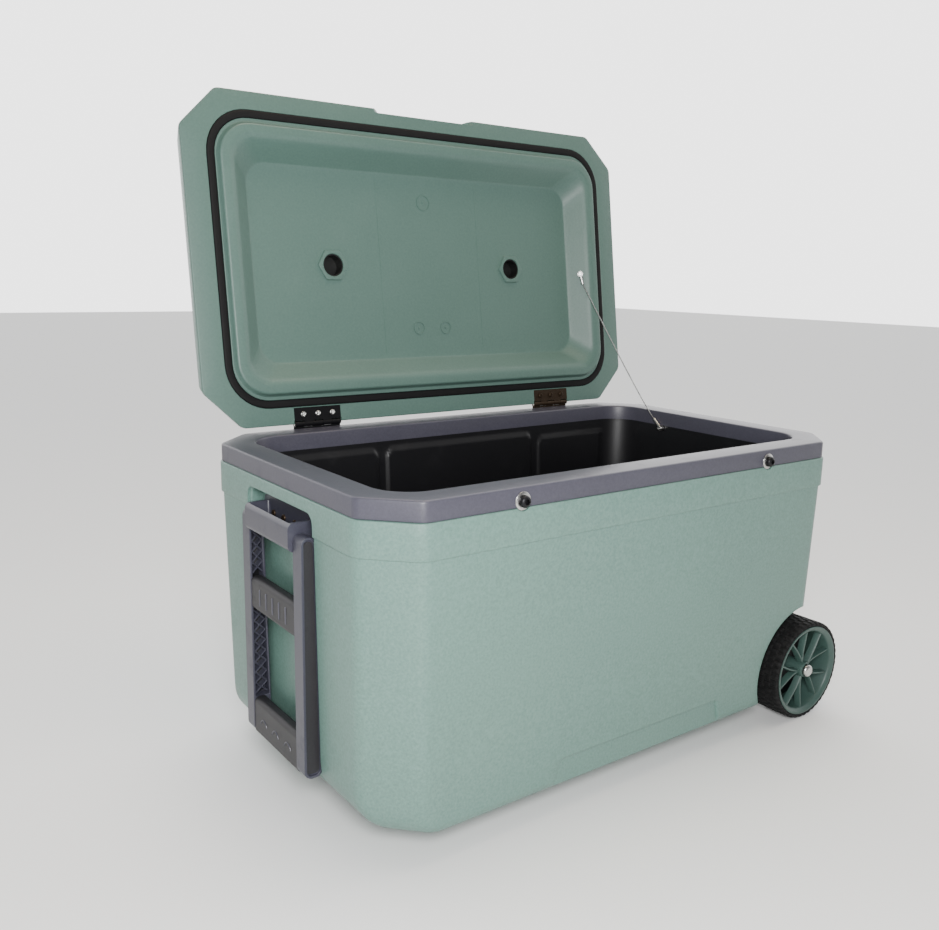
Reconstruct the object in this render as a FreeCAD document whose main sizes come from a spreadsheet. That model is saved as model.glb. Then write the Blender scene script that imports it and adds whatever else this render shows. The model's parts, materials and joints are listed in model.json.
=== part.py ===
import FreeCAD, Part
import math
import os
import Sketcher

# A wheeled ice chest with a hinged lid, a folding tow handle and two wheels.
# Drawn in millimetres with +Z up and the floor at z = 0, about a point under the middle of the box.
# +X points at the wheel end, -X at the tow handle, and the front of the box faces -Y.
# The lid is drawn shut and then turned open about its hinge line. Last, every piece is moved over
# the floor so that the origin lies under the middle of the whole open chest.

doc = FreeCAD.newDocument("IceChest")
sheet = doc.addObject("Spreadsheet::Sheet", "dims")

SIZES = [
    # box
    ("boxLength", 740, "length of the rim collar"),
    ("boxDepth", 435, "front to back over the rim collar"),
    ("rimTop", 396, "top of the rim collar above the floor"),
    ("rimHeight", 22, "height of the rim collar"),
    ("rimRound", 3, "rounding of the collar's edges"),
    ("cornerCut", 50, "cut corner of the octagon plan"),
    ("rimWidth", 37, "collar, from its outside to the opening"),
    ("openingRound", 45, "corner radius of the opening"),
    ("bandProud", 2, "how far the top band stands out"),
    ("bandHeight", 39, "height of the top band"),
    ("bodyBottom", 28, "underside of the box above the floor"),
    ("bodyDraft", 5.5, "inset of the outer walls at the bottom"),
    ("shellWall", 4, "wall of the outer shell"),
    ("sideRound", 18, "rounding under the front and back"),
    ("towEndRound", 50, "rounding under the handle end"),
    ("wheelEndRound", 20, "rounding under the wheel end"),
    # liner
    ("linerWall", 3, "wall of the liner"),
    ("linerDraft", 12, "inset of the liner's walls at the bottom"),
    ("linerFloor", 65, "inside floor of the liner above the ground"),
    ("linerRound", 12, "rounding between the liner's floor and walls"),
    ("shelfTop", 190, "raised floor over the axle"),
    ("shelfStart", 205, "where the raised floor starts"),
    # wheels and axle
    ("axleX", 321, "axle from the middle of the box"),
    ("wheelRadius", 70, "outside of the tyre"),
    ("wheelOuter", 226, "outer face of the tyre from the middle plane"),
    ("wheelWidth", 55, "width of the tyre"),
    ("tyreDepth", 9, "thickness of the tyre's tread"),
    ("archGap", 22, "room between the tyre and its arch"),
    ("archSide", 6, "room between the tyre and the arch's inner wall"),
    ("axleRadius", 5, "axle rod"),
    ("sleeveWall", 3, "wall of the axle sleeve"),
    ("bushWall", 3, "wall of the wheel bush"),
    ("runningGap", 0.05, "radial room of a turning fit"),
    ("sideGap", 0.4, "end room between turning faces"),
    ("washerThick", 3, "thrust washer"),
    ("hubRadius", 16, "wheel hub"),
    ("ringThick", 6, "outer ring of the wheel rim"),
    ("spokeCount", 10, "spokes in a wheel"),
    ("spokeWidth", 5, "width of a spoke"),
    ("spokeDepth", 14, "depth of a spoke along the axle"),
    ("capRadius", 9, "axle cap"),
    ("capHeight", 6, "axle cap, over the wheel hub"),
    # tow handle
    ("recessFloor", 16, "depth of the handle recess from the collar"),
    ("recessHalf", 80, "half width of the handle recess"),
    ("recessTop", 39, "top of the recess below the collar's top"),
    ("recessRound", 10, "corner radius of the recess"),
    ("handleHalf", 77, "half width over the handle's arms"),
    ("armWidth", 20, "width of an arm along the box"),
    ("armProud", 12, "arm's outer face, out from the collar"),
    ("armDepthTop", 18, "depth of an arm at the pivot"),
    ("armDepthEnd", 23, "depth of an arm at its lower end"),
    ("armFlute", 3, "depth of the channel in an arm's outer side"),
    ("armCavity", 12, "depth of the ribbed hollow in an arm's inner side"),
    ("armRim", 3, "edge round an arm's hollows"),
    ("pivotDrop", 71, "handle pivot below the collar's top"),
    ("handleEnd", 58, "lowest point of the handle above the floor"),
    ("pinRadius", 4, "handle pivot pin"),
    ("midGripTop", 140, "top of the middle grip below the collar's top"),
    ("midGripHeight", 40, "middle grip"),
    ("endGripHeight", 46, "end grip"),
    ("gripDepth", 16, "depth of the grips"),
    ("gripRound", 6, "rounding of the grips"),
    ("bracketHalf", 56, "half width of the bracket's trough"),
    ("bracketPlateHalf", 66, "half width of the bracket's back plate"),
    ("bracketProud", 17, "front of the bracket out from the collar"),
    ("bracketTop", 50, "top of the bracket below the collar's top"),
    ("bracketHeight", 32, "height of the bracket's trough"),
    ("bracketWall", 4, "wall of the bracket"),
    # lid
    ("lidAngle", 98.16, "how far the lid stands open"),
    ("lidGap", 2.5, "room between the collar and the shut lid"),
    ("lidHeight", 55, "thickness of the lid"),
    ("lidWall", 4, "wall of the lid's shell"),
    ("lidRound", 9, "rounding of the lid's top edge"),
    ("panelThick", 5, "flange of the lid's inner panel"),
    ("grooveLength", 676, "outside of the gasket groove along the box"),
    ("grooveDepthAll", 388, "outside of the gasket groove across the box"),
    ("grooveWidth", 11, "width of the gasket groove"),
    ("grooveDeep", 3.5, "depth of the gasket groove"),
    ("grooveRound", 60, "corner radius of the gasket groove"),
    ("gasketGap", 0.3, "gasket above the collar when the lid is shut"),
    ("lidDraft", 15, "inset of the lid's outer walls at its top"),
    ("lipLength", 652, "lip round the lid's dish, along the box"),
    ("lipDepthAll", 357, "lip round the lid's dish, across the box"),
    ("lipProud", 8, "how far the lip reaches down into the opening"),
    ("lipRound", 48, "corner radius of the lip"),
    ("lipLean", 4, "inset of the lip's outer wall at its crest"),
    ("lipCrest", 15, "width of the lip's crest"),
    ("dishSlope", 28, "inset of the dish's sloping walls at its ends"),
    ("dishSlopeSide", 26, "inset of the dish's sloping walls at its sides"),
    ("dishDeep", 22, "dish floor above the lid's flange"),
    ("dishRound", 30, "corner radius of the dish floor"),
    ("portX", 159, "filling ports from the middle"),
    ("portRadius", 15.5, "bore of a filling port"),
    ("portRim", 41, "raised hexagon round a port, across its flats"),
    ("portProud", 3, "height of the hexagon"),
    ("portDeep", 13, "how far a port's cup reaches in behind the dish"),
    ("portWall", 1.5, "wall of that cup"),
    ("notchHalf", 85, "half width of the finger notch"),
    ("notchDeep", 6, "depth of the finger notch"),
    ("notchHeight", 14, "height of the finger notch"),
    # hinges
    ("hingeX", 211, "hinges from the middle"),
    ("hingeWidth", 70, "width of a hinge leaf"),
    ("leafThick", 2, "thickness of a hinge leaf"),
    ("leafReach", 18, "lid leaf, from its knuckles"),
    ("boxLeafDrop", 20, "box leaf, below the collar's top"),
    ("hingeRise", 6, "hinge line above the collar"),
    ("knuckleRadius", 4, "outside of the knuckles"),
    ("hingePinRadius", 2, "hinge pin"),
    ("knuckleGap", 0.4, "gap between knuckles"),
    # fasteners
    ("screwRadius", 2, "thread of the hinge and bracket screws"),
    ("screwHead", 4, "head of the hinge and bracket screws"),
    ("screwHeadTall", 2, "height of those heads"),
    ("screwLength", 12, "length of those screws"),
    ("screwSpacing", 22, "spacing of the screws in a leaf"),
    ("crossWidth", 1.2, "cross recess in a screw head"),
    ("studX", 201, "front bolts from the middle"),
    ("studDrop", 15, "front bolts below the collar's top"),
    ("studWasher", 10, "washer under a front bolt"),
    ("studWasherThick", 1.6, "thickness of that washer"),
    ("studHead", 6.5, "head of a front bolt"),
    ("studHeadTall", 6, "height of that head"),
    ("studThread", 4, "thread of a front bolt"),
    ("studLength", 22, "length of a front bolt"),
    ("studSocket", 5.5, "hexagon socket, across its flats"),
    ("studSeatGap", 0.5, "room round a washer in the top band"),
    # stay cable
    ("cableRadius", 0.9, "lid stay cable"),
    ("ferruleRadius", 2.6, "ferrules on the cable"),
    ("lugRadius", 4.5, "eye on a cable end, round its screw"),
    ("lugThick", 5.4, "thickness of that eye"),
    ("anchorShare", 0.42, "lid anchor, as a share of the dish wall's slope"),
    ("anchorY", 8, "lid anchor from the lid's middle line, towards the hinge"),
    ("tubEyeY", 82, "tub anchor from the middle plane, towards the hinge"),
    ("tubEyeDrop", 26, "tub anchor below the collar's top"),
    ("tubEyeGap", 0.4, "room between the tub's eye and its wall"),
    # feet
    ("footX", 245, "feet from the middle"),
    ("footY", 130, "feet from the middle plane"),
    ("footLength", 70, "length of a foot"),
    ("footWidth", 34, "width of a foot"),
    ("footPad", 6, "rubber pad under a foot"),
    ("footRound", 6, "corner radius of a foot"),
    ("footScrewLength", 32, "length of a foot screw"),
    ("footScrewHole", 6, "hole in the pad round a foot screw"),
    # drain
    ("drainX", 150, "drain from the middle"),
    ("drainZ", 92, "drain above the floor"),
    ("drainBore", 10, "bore of the drain"),
    ("drainWall", 3, "wall of the drain fitting"),
    ("drainFlange", 22, "flange of the drain fitting"),
    ("drainFlangeThick", 4, "thickness of that flange"),
    ("drainSeal", 2, "thickness of the drain's gaskets"),
    ("plugHead", 18, "head of the drain plug"),
    ("plugHeadTall", 9, "height of that head"),
    ("plugStem", 16, "stem of the drain plug in its bore"),
]
for row, (alias, number, note) in enumerate(SIZES, start=1):
    sheet.set(f"A{row}", note)
    sheet.set(f"B{row}", str(number))
    sheet.setAlias(f"B{row}", alias)
doc.recompute()


def mm(text):
    """The value of an expression such as 'boxLength / 2' in the sheet's sizes."""
    found = sheet.evalExpression(bound(text))
    return float(getattr(found, "Value", found))


ALIASES = {alias for alias, number, note in SIZES}


def bound(text):
    """The same expression with every size written the way the document needs it."""
    words = []
    word = ""
    for letter in str(text) + " ":
        if letter.isalnum() or letter in "_.":
            word += letter
            continue
        words.append("dims." + word if word in ALIASES else word)
        words.append(letter)
        word = ""
    return "".join(words).strip()


# Heights and lengths worked out from the driving sizes.
HALF_LONG = "boxLength / 2"
HALF_DEEP = "boxDepth / 2"
RIM_BOTTOM = "(rimTop - rimHeight)"
BAND_BOTTOM = "(rimTop - rimHeight - bandHeight)"
OPEN_LONG = "(boxLength / 2 - rimWidth)"
OPEN_DEEP = "(boxDepth / 2 - rimWidth)"
LINER_TOP = RIM_BOTTOM
FLANGE_BOTTOM = "(rimTop - rimHeight - shellWall)"
WHEEL_INNER = "(wheelOuter - wheelWidth)"
ARCH_WALL = "(wheelOuter - wheelWidth - archSide)"
ARCH_RADIUS = "(wheelRadius + archGap)"
SLEEVE_RADIUS = "(axleRadius + sleeveWall)"
BUSH_BORE = "(axleRadius + runningGap)"
BUSH_RADIUS = "(axleRadius + runningGap + bushWall)"
LID_BOTTOM = "(rimTop + lidGap)"
LID_TOP = "(rimTop + lidGap + lidHeight)"
PANEL_TOP = "(rimTop + lidGap + panelThick)"
DISH_TOP = "(rimTop + lidGap + dishDeep)"
HINGE_Z = "(rimTop + hingeRise)"
ARM_FACE = "(-boxLength / 2 - armProud)"
PIVOT_X = "(-boxLength / 2 - armProud + armDepthTop / 2)"
PIVOT_Z = "(rimTop - pivotDrop)"
RECESS_X = "(-boxLength / 2 + recessFloor)"
ARM_INNER = "(handleHalf - armWidth)"
CUT_SHRINK = 2 - math.sqrt(2)  # how much a cut corner shortens for each mm that its outline is inset
FAR = 60  # how far a cutting tool runs past the faces that it cuts
CORNER_STEPS = 5  # flats in the rounding under a cut corner

PLANE_UP = {"XY_Plane": 1, "YZ_Plane": 1, "XZ_Plane": -1}


def settle():
    """Recomputes the document, and stops if any object in it has failed."""
    doc.recompute()
    for item in doc.Objects:
        if {"Invalid", "Error"} & set(item.State):
            raise RuntimeError(f"{item.Label} failed: {item.getStatusString()}")


def hingeTurn():
    """The turn that opens the shut lid about its hinge line."""
    centre = FreeCAD.Vector(0, mm(HALF_DEEP), mm(HINGE_Z))
    turn = FreeCAD.Rotation(FreeCAD.Vector(1, 0, 0), -mm("lidAngle"))
    return FreeCAD.Placement(centre - turn.multVec(centre), turn)


STILL = FreeCAD.Placement()
OPENED = hingeTurn()


def newBody(label, place=STILL):
    body = doc.addObject("PartDesign::Body", label)
    body.Placement = place
    return body


def ownPlane(body, role):
    return next(item for item in body.Origin.OriginFeatures if item.Role == role)


def newSketch(body, role, away, middle=("0", "0")):
    """A sketch on one of the body's own planes: away is its distance, middle its origin in the plane."""
    sketch = body.newObject("Sketcher::SketchObject", body.Label + "_sketch")
    sketch.AttachmentSupport = [(ownPlane(body, role), "")]
    sketch.MapMode = "FlatFace"
    rise = f"{PLANE_UP[role]} * ({away})"
    for axis, text in zip("xyz", (middle[0], middle[1], rise)):
        sketch.setExpression(f"AttachmentOffset.Base.{axis}", bound(text))
    return sketch


def held(geometry, point, across, up):
    """Rules that hold one point of a sketch at two expressions, measured from the sketch's origin."""
    rules = []
    for kind, text, axis in (("DistanceX", across, -2), ("DistanceY", up, -1)):
        number = mm(text)
        if abs(number) < 1e-9:
            rules.append((Sketcher.Constraint("PointOnObject", geometry, point, axis), None))
        elif number > 0:
            rules.append((Sketcher.Constraint(kind, -1, 1, geometry, point, number), text))
        else:
            rules.append((Sketcher.Constraint(kind, geometry, point, -1, 1, -number), f"-1 * ({text})"))
    return rules


def constrain(sketch, rules):
    """Adds all the rules at once, so the drawn outline is solved where it stands, then binds them."""
    numbers = sketch.addConstraint([rule for rule, text in rules])
    for number, (rule, text) in zip(numbers, rules):
        if text:
            sketch.setExpression(f"Constraints[{number}]", bound(text))


def outline(sketch, corners):
    """A closed outline through corners (across, up) or (across, up, radius), each an expression."""
    spots = [FreeCAD.Vector(mm(c[0]), mm(c[1]), 0) for c in corners]
    radii = [mm(c[2]) if len(c) > 2 else 0.0 for c in corners]
    count = len(corners)
    legs = []
    for i in range(count):
        back = (spots[i - 1] - spots[i]).normalize()
        ahead = (spots[(i + 1) % count] - spots[i]).normalize()
        half = back.getAngle(ahead) / 2
        cut = radii[i] / math.tan(half)
        legs.append((spots[i] + back * cut, spots[i] + ahead * cut, back, ahead, half))
    lines = []
    for i in range(count):
        line = Part.LineSegment(legs[i][1], legs[(i + 1) % count][0])
        lines.append(sketch.addGeometry(line, False))
    rules = []
    for i in range(count):
        before, after = lines[i - 1], lines[i]
        if not radii[i]:
            rules.append((Sketcher.Constraint("Coincident", before, 2, after, 1), None))
            rules += held(after, 1, corners[i][0], corners[i][1])
            continue
        start, end, back, ahead, half = legs[i]
        inward = (back + ahead).normalize()
        centre = spots[i] + inward * (radii[i] / math.sin(half))
        arc = sketch.addGeometry(Part.Arc(start, centre - inward * radii[i], end), False)
        # a sketch's arc runs anticlockwise, so on a right turn its ends are met the other way round
        first, last = (2, 1) if back.cross(ahead).z > 0 else (1, 2)
        corner = sketch.addGeometry(Part.Point(spots[i]), True)
        rules.append((Sketcher.Constraint("Tangent", before, 2, arc, first), None))
        rules.append((Sketcher.Constraint("Tangent", arc, last, after, 1), None))
        rules.append((Sketcher.Constraint("PointOnObject", corner, 1, before), None))
        rules.append((Sketcher.Constraint("PointOnObject", corner, 1, after), None))
        rules.append((Sketcher.Constraint("Radius", arc, radii[i]), corners[i][2]))
        rules += held(corner, 1, corners[i][0], corners[i][1])
    constrain(sketch, rules)


def ring(sketch, across, up, radius):
    """A circle in a sketch."""
    spot = FreeCAD.Vector(mm(across), mm(up), 0)
    circle = sketch.addGeometry(Part.Circle(spot, FreeCAD.Vector(0, 0, 1), mm(radius)), False)
    rules = [(Sketcher.Constraint("Radius", circle, mm(radius)), radius)]
    constrain(sketch, rules + held(circle, 3, across, up))


def pad(body, role, low, high, outlines=(), rings=()):
    """A prism between two coordinates along the plane's axis."""
    away = low if PLANE_UP[role] > 0 else high
    sketch = newSketch(body, role, away)
    for corners in outlines:
        outline(sketch, corners)
    for circle in rings:
        ring(sketch, *circle)
    feature = body.newObject("PartDesign::Pad", body.Label + "_pad")
    feature.Profile = sketch
    feature.setExpression("Length", bound(f"({high}) - ({low})"))
    settle()
    return feature


def pocket(body, role, low, high, outlines=(), rings=()):
    """Cuts a prism between two coordinates out of the body, and makes sure that it cut something."""
    before = body.Shape.Volume
    away = high if PLANE_UP[role] > 0 else low
    sketch = newSketch(body, role, away)
    for corners in outlines:
        outline(sketch, corners)
    for circle in rings:
        ring(sketch, *circle)
    feature = body.newObject("PartDesign::Pocket", body.Label + "_pocket")
    feature.Profile = sketch
    feature.setExpression("Length", bound(f"({high}) - ({low})"))
    settle()
    if body.Shape.Volume > before - 1e-3:
        raise RuntimeError(f"a pocket in {body.Label} cut nothing")
    return feature


def loft(body, sections):
    """A ruled solid through outlines at several heights."""
    sketches = []
    for height, corners in sections:
        sketch = newSketch(body, "XY_Plane", height)
        outline(sketch, corners)
        sketches.append(sketch)
    feature = body.newObject("PartDesign::AdditiveLoft", body.Label + "_loft")
    feature.Profile = sketches[0]
    feature.Sections = sketches[1:]
    feature.Ruled = True
    settle()
    return feature


def spin(body, role, away, middle, corners, axis):
    """An outline turned a full turn about its sketch's H_Axis or V_Axis."""
    sketch = newSketch(body, role, away, middle)
    outline(sketch, corners)
    feature = body.newObject("PartDesign::Revolution", body.Label + "_turn")
    feature.Profile = sketch
    feature.ReferenceAxis = (sketch, [axis])
    feature.Angle = 360
    settle()
    return feature


def soften(body, wanted, radius, kind="Fillet"):
    """Rounds or bevels the edges of the body's tip that pass a test on their ends."""
    names = []
    base = body.Tip
    for number, edge in enumerate(base.Shape.Edges, start=1):
        if len(edge.Vertexes) == 2 and wanted(edge.Vertexes[0].Point, edge.Vertexes[1].Point):
            names.append(f"Edge{number}")
    if not names:
        raise RuntimeError(f"{body.Label} has no edge to soften")
    feature = body.newObject("PartDesign::" + kind, body.Label + "_" + kind.lower())
    feature.Base = (base, names)
    feature.setExpression("Radius" if kind == "Fillet" else "Size", bound(radius))
    settle()
    return feature


def level(height):
    """A test for edges that lie at one height."""
    return lambda a, b: abs(a.z - height) < 0.01 and abs(b.z - height) < 0.01


def cut(label, base, tools):
    """Part::Cut of a solid by one or more others."""
    tool = tools[0] if len(tools) == 1 else fuse(label + "_tools", tools)
    made = doc.addObject("Part::Cut", label)
    made.Base = base
    made.Tool = tool
    settle()
    if made.Shape.Volume > base.Shape.Volume - 1e-3:
        raise RuntimeError(f"{label} was not cut")
    return made


def fuse(label, pieces):
    made = doc.addObject("Part::MultiFuse", label)
    made.Shapes = pieces
    settle()
    return made


def common(label, pieces):
    made = doc.addObject("Part::MultiCommon", label)
    made.Shapes = pieces
    settle()
    return made


def rod(label, axis, start, length, radius, place=STILL):
    """Part::Cylinder along X, Y or Z from a start point."""
    made = doc.addObject("Part::Cylinder", label)
    turns = {
        "X": FreeCAD.Rotation(FreeCAD.Vector(0, 1, 0), 90),
        "Y": FreeCAD.Rotation(FreeCAD.Vector(1, 0, 0), -90),
        "Z": FreeCAD.Rotation(),
    }
    made.setExpression("Radius", bound(radius))
    made.setExpression("Height", bound(length))
    local = FreeCAD.Placement(FreeCAD.Vector(*[mm(text) for text in start]), turns[axis])
    made.Placement = place.multiply(local)
    settle()
    return made


def block(label, low, high, place=STILL):
    """Part::Box between two corners."""
    made = doc.addObject("Part::Box", label)
    for name, a, b in zip(("Length", "Width", "Height"), low, high):
        made.setExpression(name, bound(f"({b}) - ({a})"))
    corner = FreeCAD.Vector(*[mm(text) for text in low])
    made.Placement = place.multiply(FreeCAD.Placement(corner, FreeCAD.Rotation()))
    settle()
    return made


def octagon(half, deep, corner, lowCorner=None):
    """An oblong with cut corners, as expressions; lowCorner is the cut at its -X end where that differs."""
    lowCorner = lowCorner or corner
    return [
        (f"{half} - ({corner})", f"-({deep})"),
        (half, f"-({deep}) + {corner}"),
        (half, f"{deep} - ({corner})"),
        (f"{half} - ({corner})", deep),
        (f"-({half}) + {lowCorner}", deep),
        (f"-({half})", f"{deep} - ({lowCorner})"),
        (f"-({half})", f"-({deep}) + {lowCorner}"),
        (f"-({half}) + {lowCorner}", f"-({deep})"),
    ]


def oblong(left, right, front, back, radius):
    """An oblong with rounded corners, as expressions."""
    return [
        (right, front, radius),
        (right, back, radius),
        (left, back, radius),
        (left, front, radius),
    ]


def evenOblong(half, deep, radius):
    return oblong(f"-({half})", half, f"-({deep})", deep, radius)


def boxForm(label, inset, bottom, high):
    """The outside of the box, or its hollow where inset is the wall.

    A stack of octagons makes the drafted walls, an octagon prism makes the band, and two long prisms
    with rounded lower corners trim the underside. The cut corners round under too: low in the stack
    each octagon's cuts are wider, by how far a quarter circle has pulled in at that height.
    """
    corner = f"(cornerCut - {CUT_SHRINK} * {inset})"
    lower = newBody(label + "_walls")
    rounds = [f"((sideRound + {end}) / 2 - {inset})" for end in ("towEndRound", "wheelEndRound")]
    sections = []
    for step in range(CORNER_STEPS + 1):
        turn = math.pi / 2 * step / CORNER_STEPS
        height = f"({bottom} + {rounds[0]} * {1 - math.cos(turn)})"
        cuts = []
        for radius in rounds:
            rise = max(mm(radius) - mm(height) + mm(bottom), 0)
            pulled = mm(radius) - math.sqrt(mm(radius) ** 2 - rise**2)
            cuts.append(f"({corner} + {pulled * math.sqrt(2)})")
        share = f"({BAND_BOTTOM} - {height}) / ({BAND_BOTTOM} - {bottom})"
        half = f"({HALF_LONG} - bodyDraft * {share} - {inset})"
        deep = f"({HALF_DEEP} - bodyDraft * {share} - {inset})"
        sections.append((height, octagon(half, deep, cuts[1], cuts[0])))
    top = octagon(f"({HALF_LONG} - {inset})", f"({HALF_DEEP} - {inset})", corner)
    sections.append((BAND_BOTTOM, top))
    loft(lower, sections)
    band = newBody(label + "_band")
    half = f"({HALF_LONG} + bandProud - {inset})"
    deep = f"({HALF_DEEP} + bandProud - {inset})"
    pad(band, "XY_Plane", BAND_BOTTOM, high, [octagon(half, deep, corner)])
    walls = fuse(label + "_whole", [lower, band])
    foot = f"({HALF_LONG} - bodyDraft - {inset})"
    side = newBody(label + "_side")
    profile = [
        (f"-{foot}", bottom, f"towEndRound - {inset}"),
        (foot, bottom, f"wheelEndRound - {inset}"),
        (f"{HALF_LONG} - {inset}", BAND_BOTTOM),
        (f"{HALF_LONG} + {FAR}", BAND_BOTTOM),
        (f"{HALF_LONG} + {FAR}", f"rimTop + {FAR}"),
        (f"-{HALF_LONG} - {FAR}", f"rimTop + {FAR}"),
        (f"-{HALF_LONG} - {FAR}", BAND_BOTTOM),
        (f"-{HALF_LONG} + {inset}", BAND_BOTTOM),
    ]
    pad(side, "XZ_Plane", f"-{HALF_DEEP} - {FAR}", f"{HALF_DEEP} + {FAR}", [profile])
    foot = f"({HALF_DEEP} - bodyDraft - {inset})"
    front = newBody(label + "_front")
    profile = [
        (f"-{foot}", bottom, f"sideRound - {inset}"),
        (foot, bottom, f"sideRound - {inset}"),
        (f"{HALF_DEEP} - {inset}", BAND_BOTTOM),
        (f"{HALF_DEEP} + {FAR}", BAND_BOTTOM),
        (f"{HALF_DEEP} + {FAR}", f"rimTop + {FAR}"),
        (f"-{HALF_DEEP} - {FAR}", f"rimTop + {FAR}"),
        (f"-{HALF_DEEP} - {FAR}", BAND_BOTTOM),
        (f"-{HALF_DEEP} + {inset}", BAND_BOTTOM),
    ]
    pad(front, "YZ_Plane", f"-{HALF_LONG} - {FAR}", f"{HALF_LONG} + {FAR}", [profile])
    return common(label, [walls, side, front])


def archTools(label, grow):
    """The two wheel arches as cylinders, grown by a wall where the hollow needs it."""
    tools = []
    for name, side in (("front", -1), ("rear", 1)):
        start = f"-({HALF_DEEP}) - {FAR}" if side < 0 else f"{ARCH_WALL} - ({grow})"
        length = f"{HALF_DEEP} + {FAR} - {ARCH_WALL} + {grow}"
        spot = ("axleX", start, "wheelRadius")
        tools.append(rod(f"{label}_{name}", "Y", spot, length, f"{ARCH_RADIUS} + {grow}"))
    return tools


def recessTool(label, grow):
    """The recess in the end wall that the tow handle folds into."""
    tool = newBody(label)
    half = f"recessHalf + {grow}"
    profile = [
        (f"-({half})", f"-{FAR}"),
        (half, f"-{FAR}"),
        (half, f"rimTop - recessTop + {grow}", f"recessRound + {grow}"),
        (f"-({half})", f"rimTop - recessTop + {grow}", f"recessRound + {grow}"),
    ]
    pad(tool, "YZ_Plane", f"-{HALF_LONG} - {FAR}", f"{RECESS_X} + {grow}", [profile])
    return tool


def linerForm(label, grow):
    """The inside of the liner, or its outside where grow is the wall: a deep well and a shelf."""
    floor = f"linerFloor - {grow}"
    reach = f"({OPEN_LONG} - linerDraft + {grow})"
    deep = f"({OPEN_DEEP} - linerDraft + {grow})"
    mouth = (f"({OPEN_LONG} + {grow})", f"({OPEN_DEEP} + {grow})")
    radius = f"(openingRound + {grow})"
    shelf = f"(shelfTop - {grow})"
    # the walls lean in evenly from the mouth to the floor, so at the shelf they have gone part way
    share = f"((rimTop - rimHeight - shelfTop + {grow}) / (rimTop - rimHeight - linerFloor + {grow}))"
    midLong = f"({OPEN_LONG} - linerDraft * {share} + {grow})"
    midDeep = f"({OPEN_DEEP} - linerDraft * {share} + {grow})"
    upper = newBody(label + "_upper")
    sections = [(shelf, evenOblong(midLong, midDeep, radius)), (LINER_TOP, evenOblong(*mouth, radius))]
    loft(upper, sections)
    end = f"shelfStart + {grow}"
    small = f"(linerRound + {grow})"
    well = newBody(label + "_well")

    def wellPlan(half, side):
        return [
            (end, f"-({side})", small),
            (end, side, small),
            (f"-({half})", side, radius),
            (f"-({half})", f"-({side})", radius),
        ]

    loft(well, [(floor, wellPlan(reach, deep)), (shelf, wellPlan(midLong, midDeep))])
    return fuse(label, [upper, well])


# ---------------------------------------------------------------- box

boxOutside = boxForm("boxOutside", "0", "bodyBottom", RIM_BOTTOM)
boxHollow = boxForm("boxHollow", "shellWall", "bodyBottom + shellWall", RIM_BOTTOM)
innerArches = archTools("innerArch", "shellWall")
foamRoom = cut("foamRoom", boxHollow, innerArches + [recessTool("innerRecess", "shellWall")])

# axle sleeve: a tube through the foam between the two arches
axleSleeve = newBody("axle_sleeve")
spin(
    axleSleeve,
    "YZ_Plane",
    "axleX",
    ("0", "wheelRadius"),
    [
        (f"-{ARCH_WALL}", "axleRadius"),
        (ARCH_WALL, "axleRadius"),
        (ARCH_WALL, SLEEVE_RADIUS),
        (f"-{ARCH_WALL}", SLEEVE_RADIUS),
    ],
    "H_Axis",
)
sleeveHole = rod(
    "sleeveHole", "Y", ("axleX", f"-{ARCH_WALL}", "wheelRadius"), f"2 * {ARCH_WALL}", SLEEVE_RADIUS
)

# liner
linerInside = linerForm("linerInside", "0")
linerOutside = linerForm("linerOutside", "linerWall")
linerFlange = newBody("linerFlange")
flangeCorner = f"(cornerCut - {CUT_SHRINK} * shellWall)"
flangeHalf = f"({HALF_LONG} + bandProud - shellWall)"
flangeDeep = f"({HALF_DEEP} + bandProud - shellWall)"
pad(linerFlange, "XY_Plane", FLANGE_BOTTOM, RIM_BOTTOM, [octagon(flangeHalf, flangeDeep, flangeCorner)])
linerBlank = fuse("linerBlank", [linerOutside, linerFlange])

drainStart = ("drainX", f"{OPEN_DEEP} - {FAR}", "drainZ")
drainHole = rod("drainHole", "Y", drainStart, f"rimWidth + 2 * {FAR}", "drainBore + drainWall")

# ---------------------------------------------------------------- screws

def screwBody(label, head, tall, thread, length, recess):
    """A screw along Z with its seat at the origin, its head above and its thread below."""
    body = newBody(label)
    profile = [
        ("0", f"-({length})"),
        (thread, f"-({length})"),
        (thread, "0"),
        (head, "0"),
        (head, tall, f"({tall}) * 0.6"),
        ("0", tall),
    ]
    spin(body, "XZ_Plane", "0", ("0", "0"), profile, "V_Axis")
    if recess == "cross":
        arm = f"({head}) * 0.6"
        half = "crossWidth / 2"
        plus = [
            (arm, f"-{half}"),
            (arm, half),
            (half, half),
            (half, arm),
            (f"-{half}", arm),
            (f"-{half}", half),
            (f"-({arm})", half),
            (f"-({arm})", f"-{half}"),
            (f"-{half}", f"-{half}"),
            (f"-{half}", f"-({arm})"),
            (half, f"-({arm})"),
            (half, f"-{half}"),
        ]
        pocket(body, "XY_Plane", f"({tall}) * 0.4", tall, [plus])
    if recess == "hexagon":
        pocket(body, "XY_Plane", f"({tall}) * 0.35", tall, [hexagon("studSocket")])
    return body


def hexagon(flats, across="0"):
    """A regular hexagon of a given size across its flats, with two corners on the X axis."""
    corners = []
    for step in range(6):
        angle = math.radians(60 * step)
        radius = f"({flats}) / {math.sqrt(3)}"
        corners.append((f"{across} + {radius} * {math.cos(angle)}", f"{radius} * {math.sin(angle)}"))
    return corners


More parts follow.
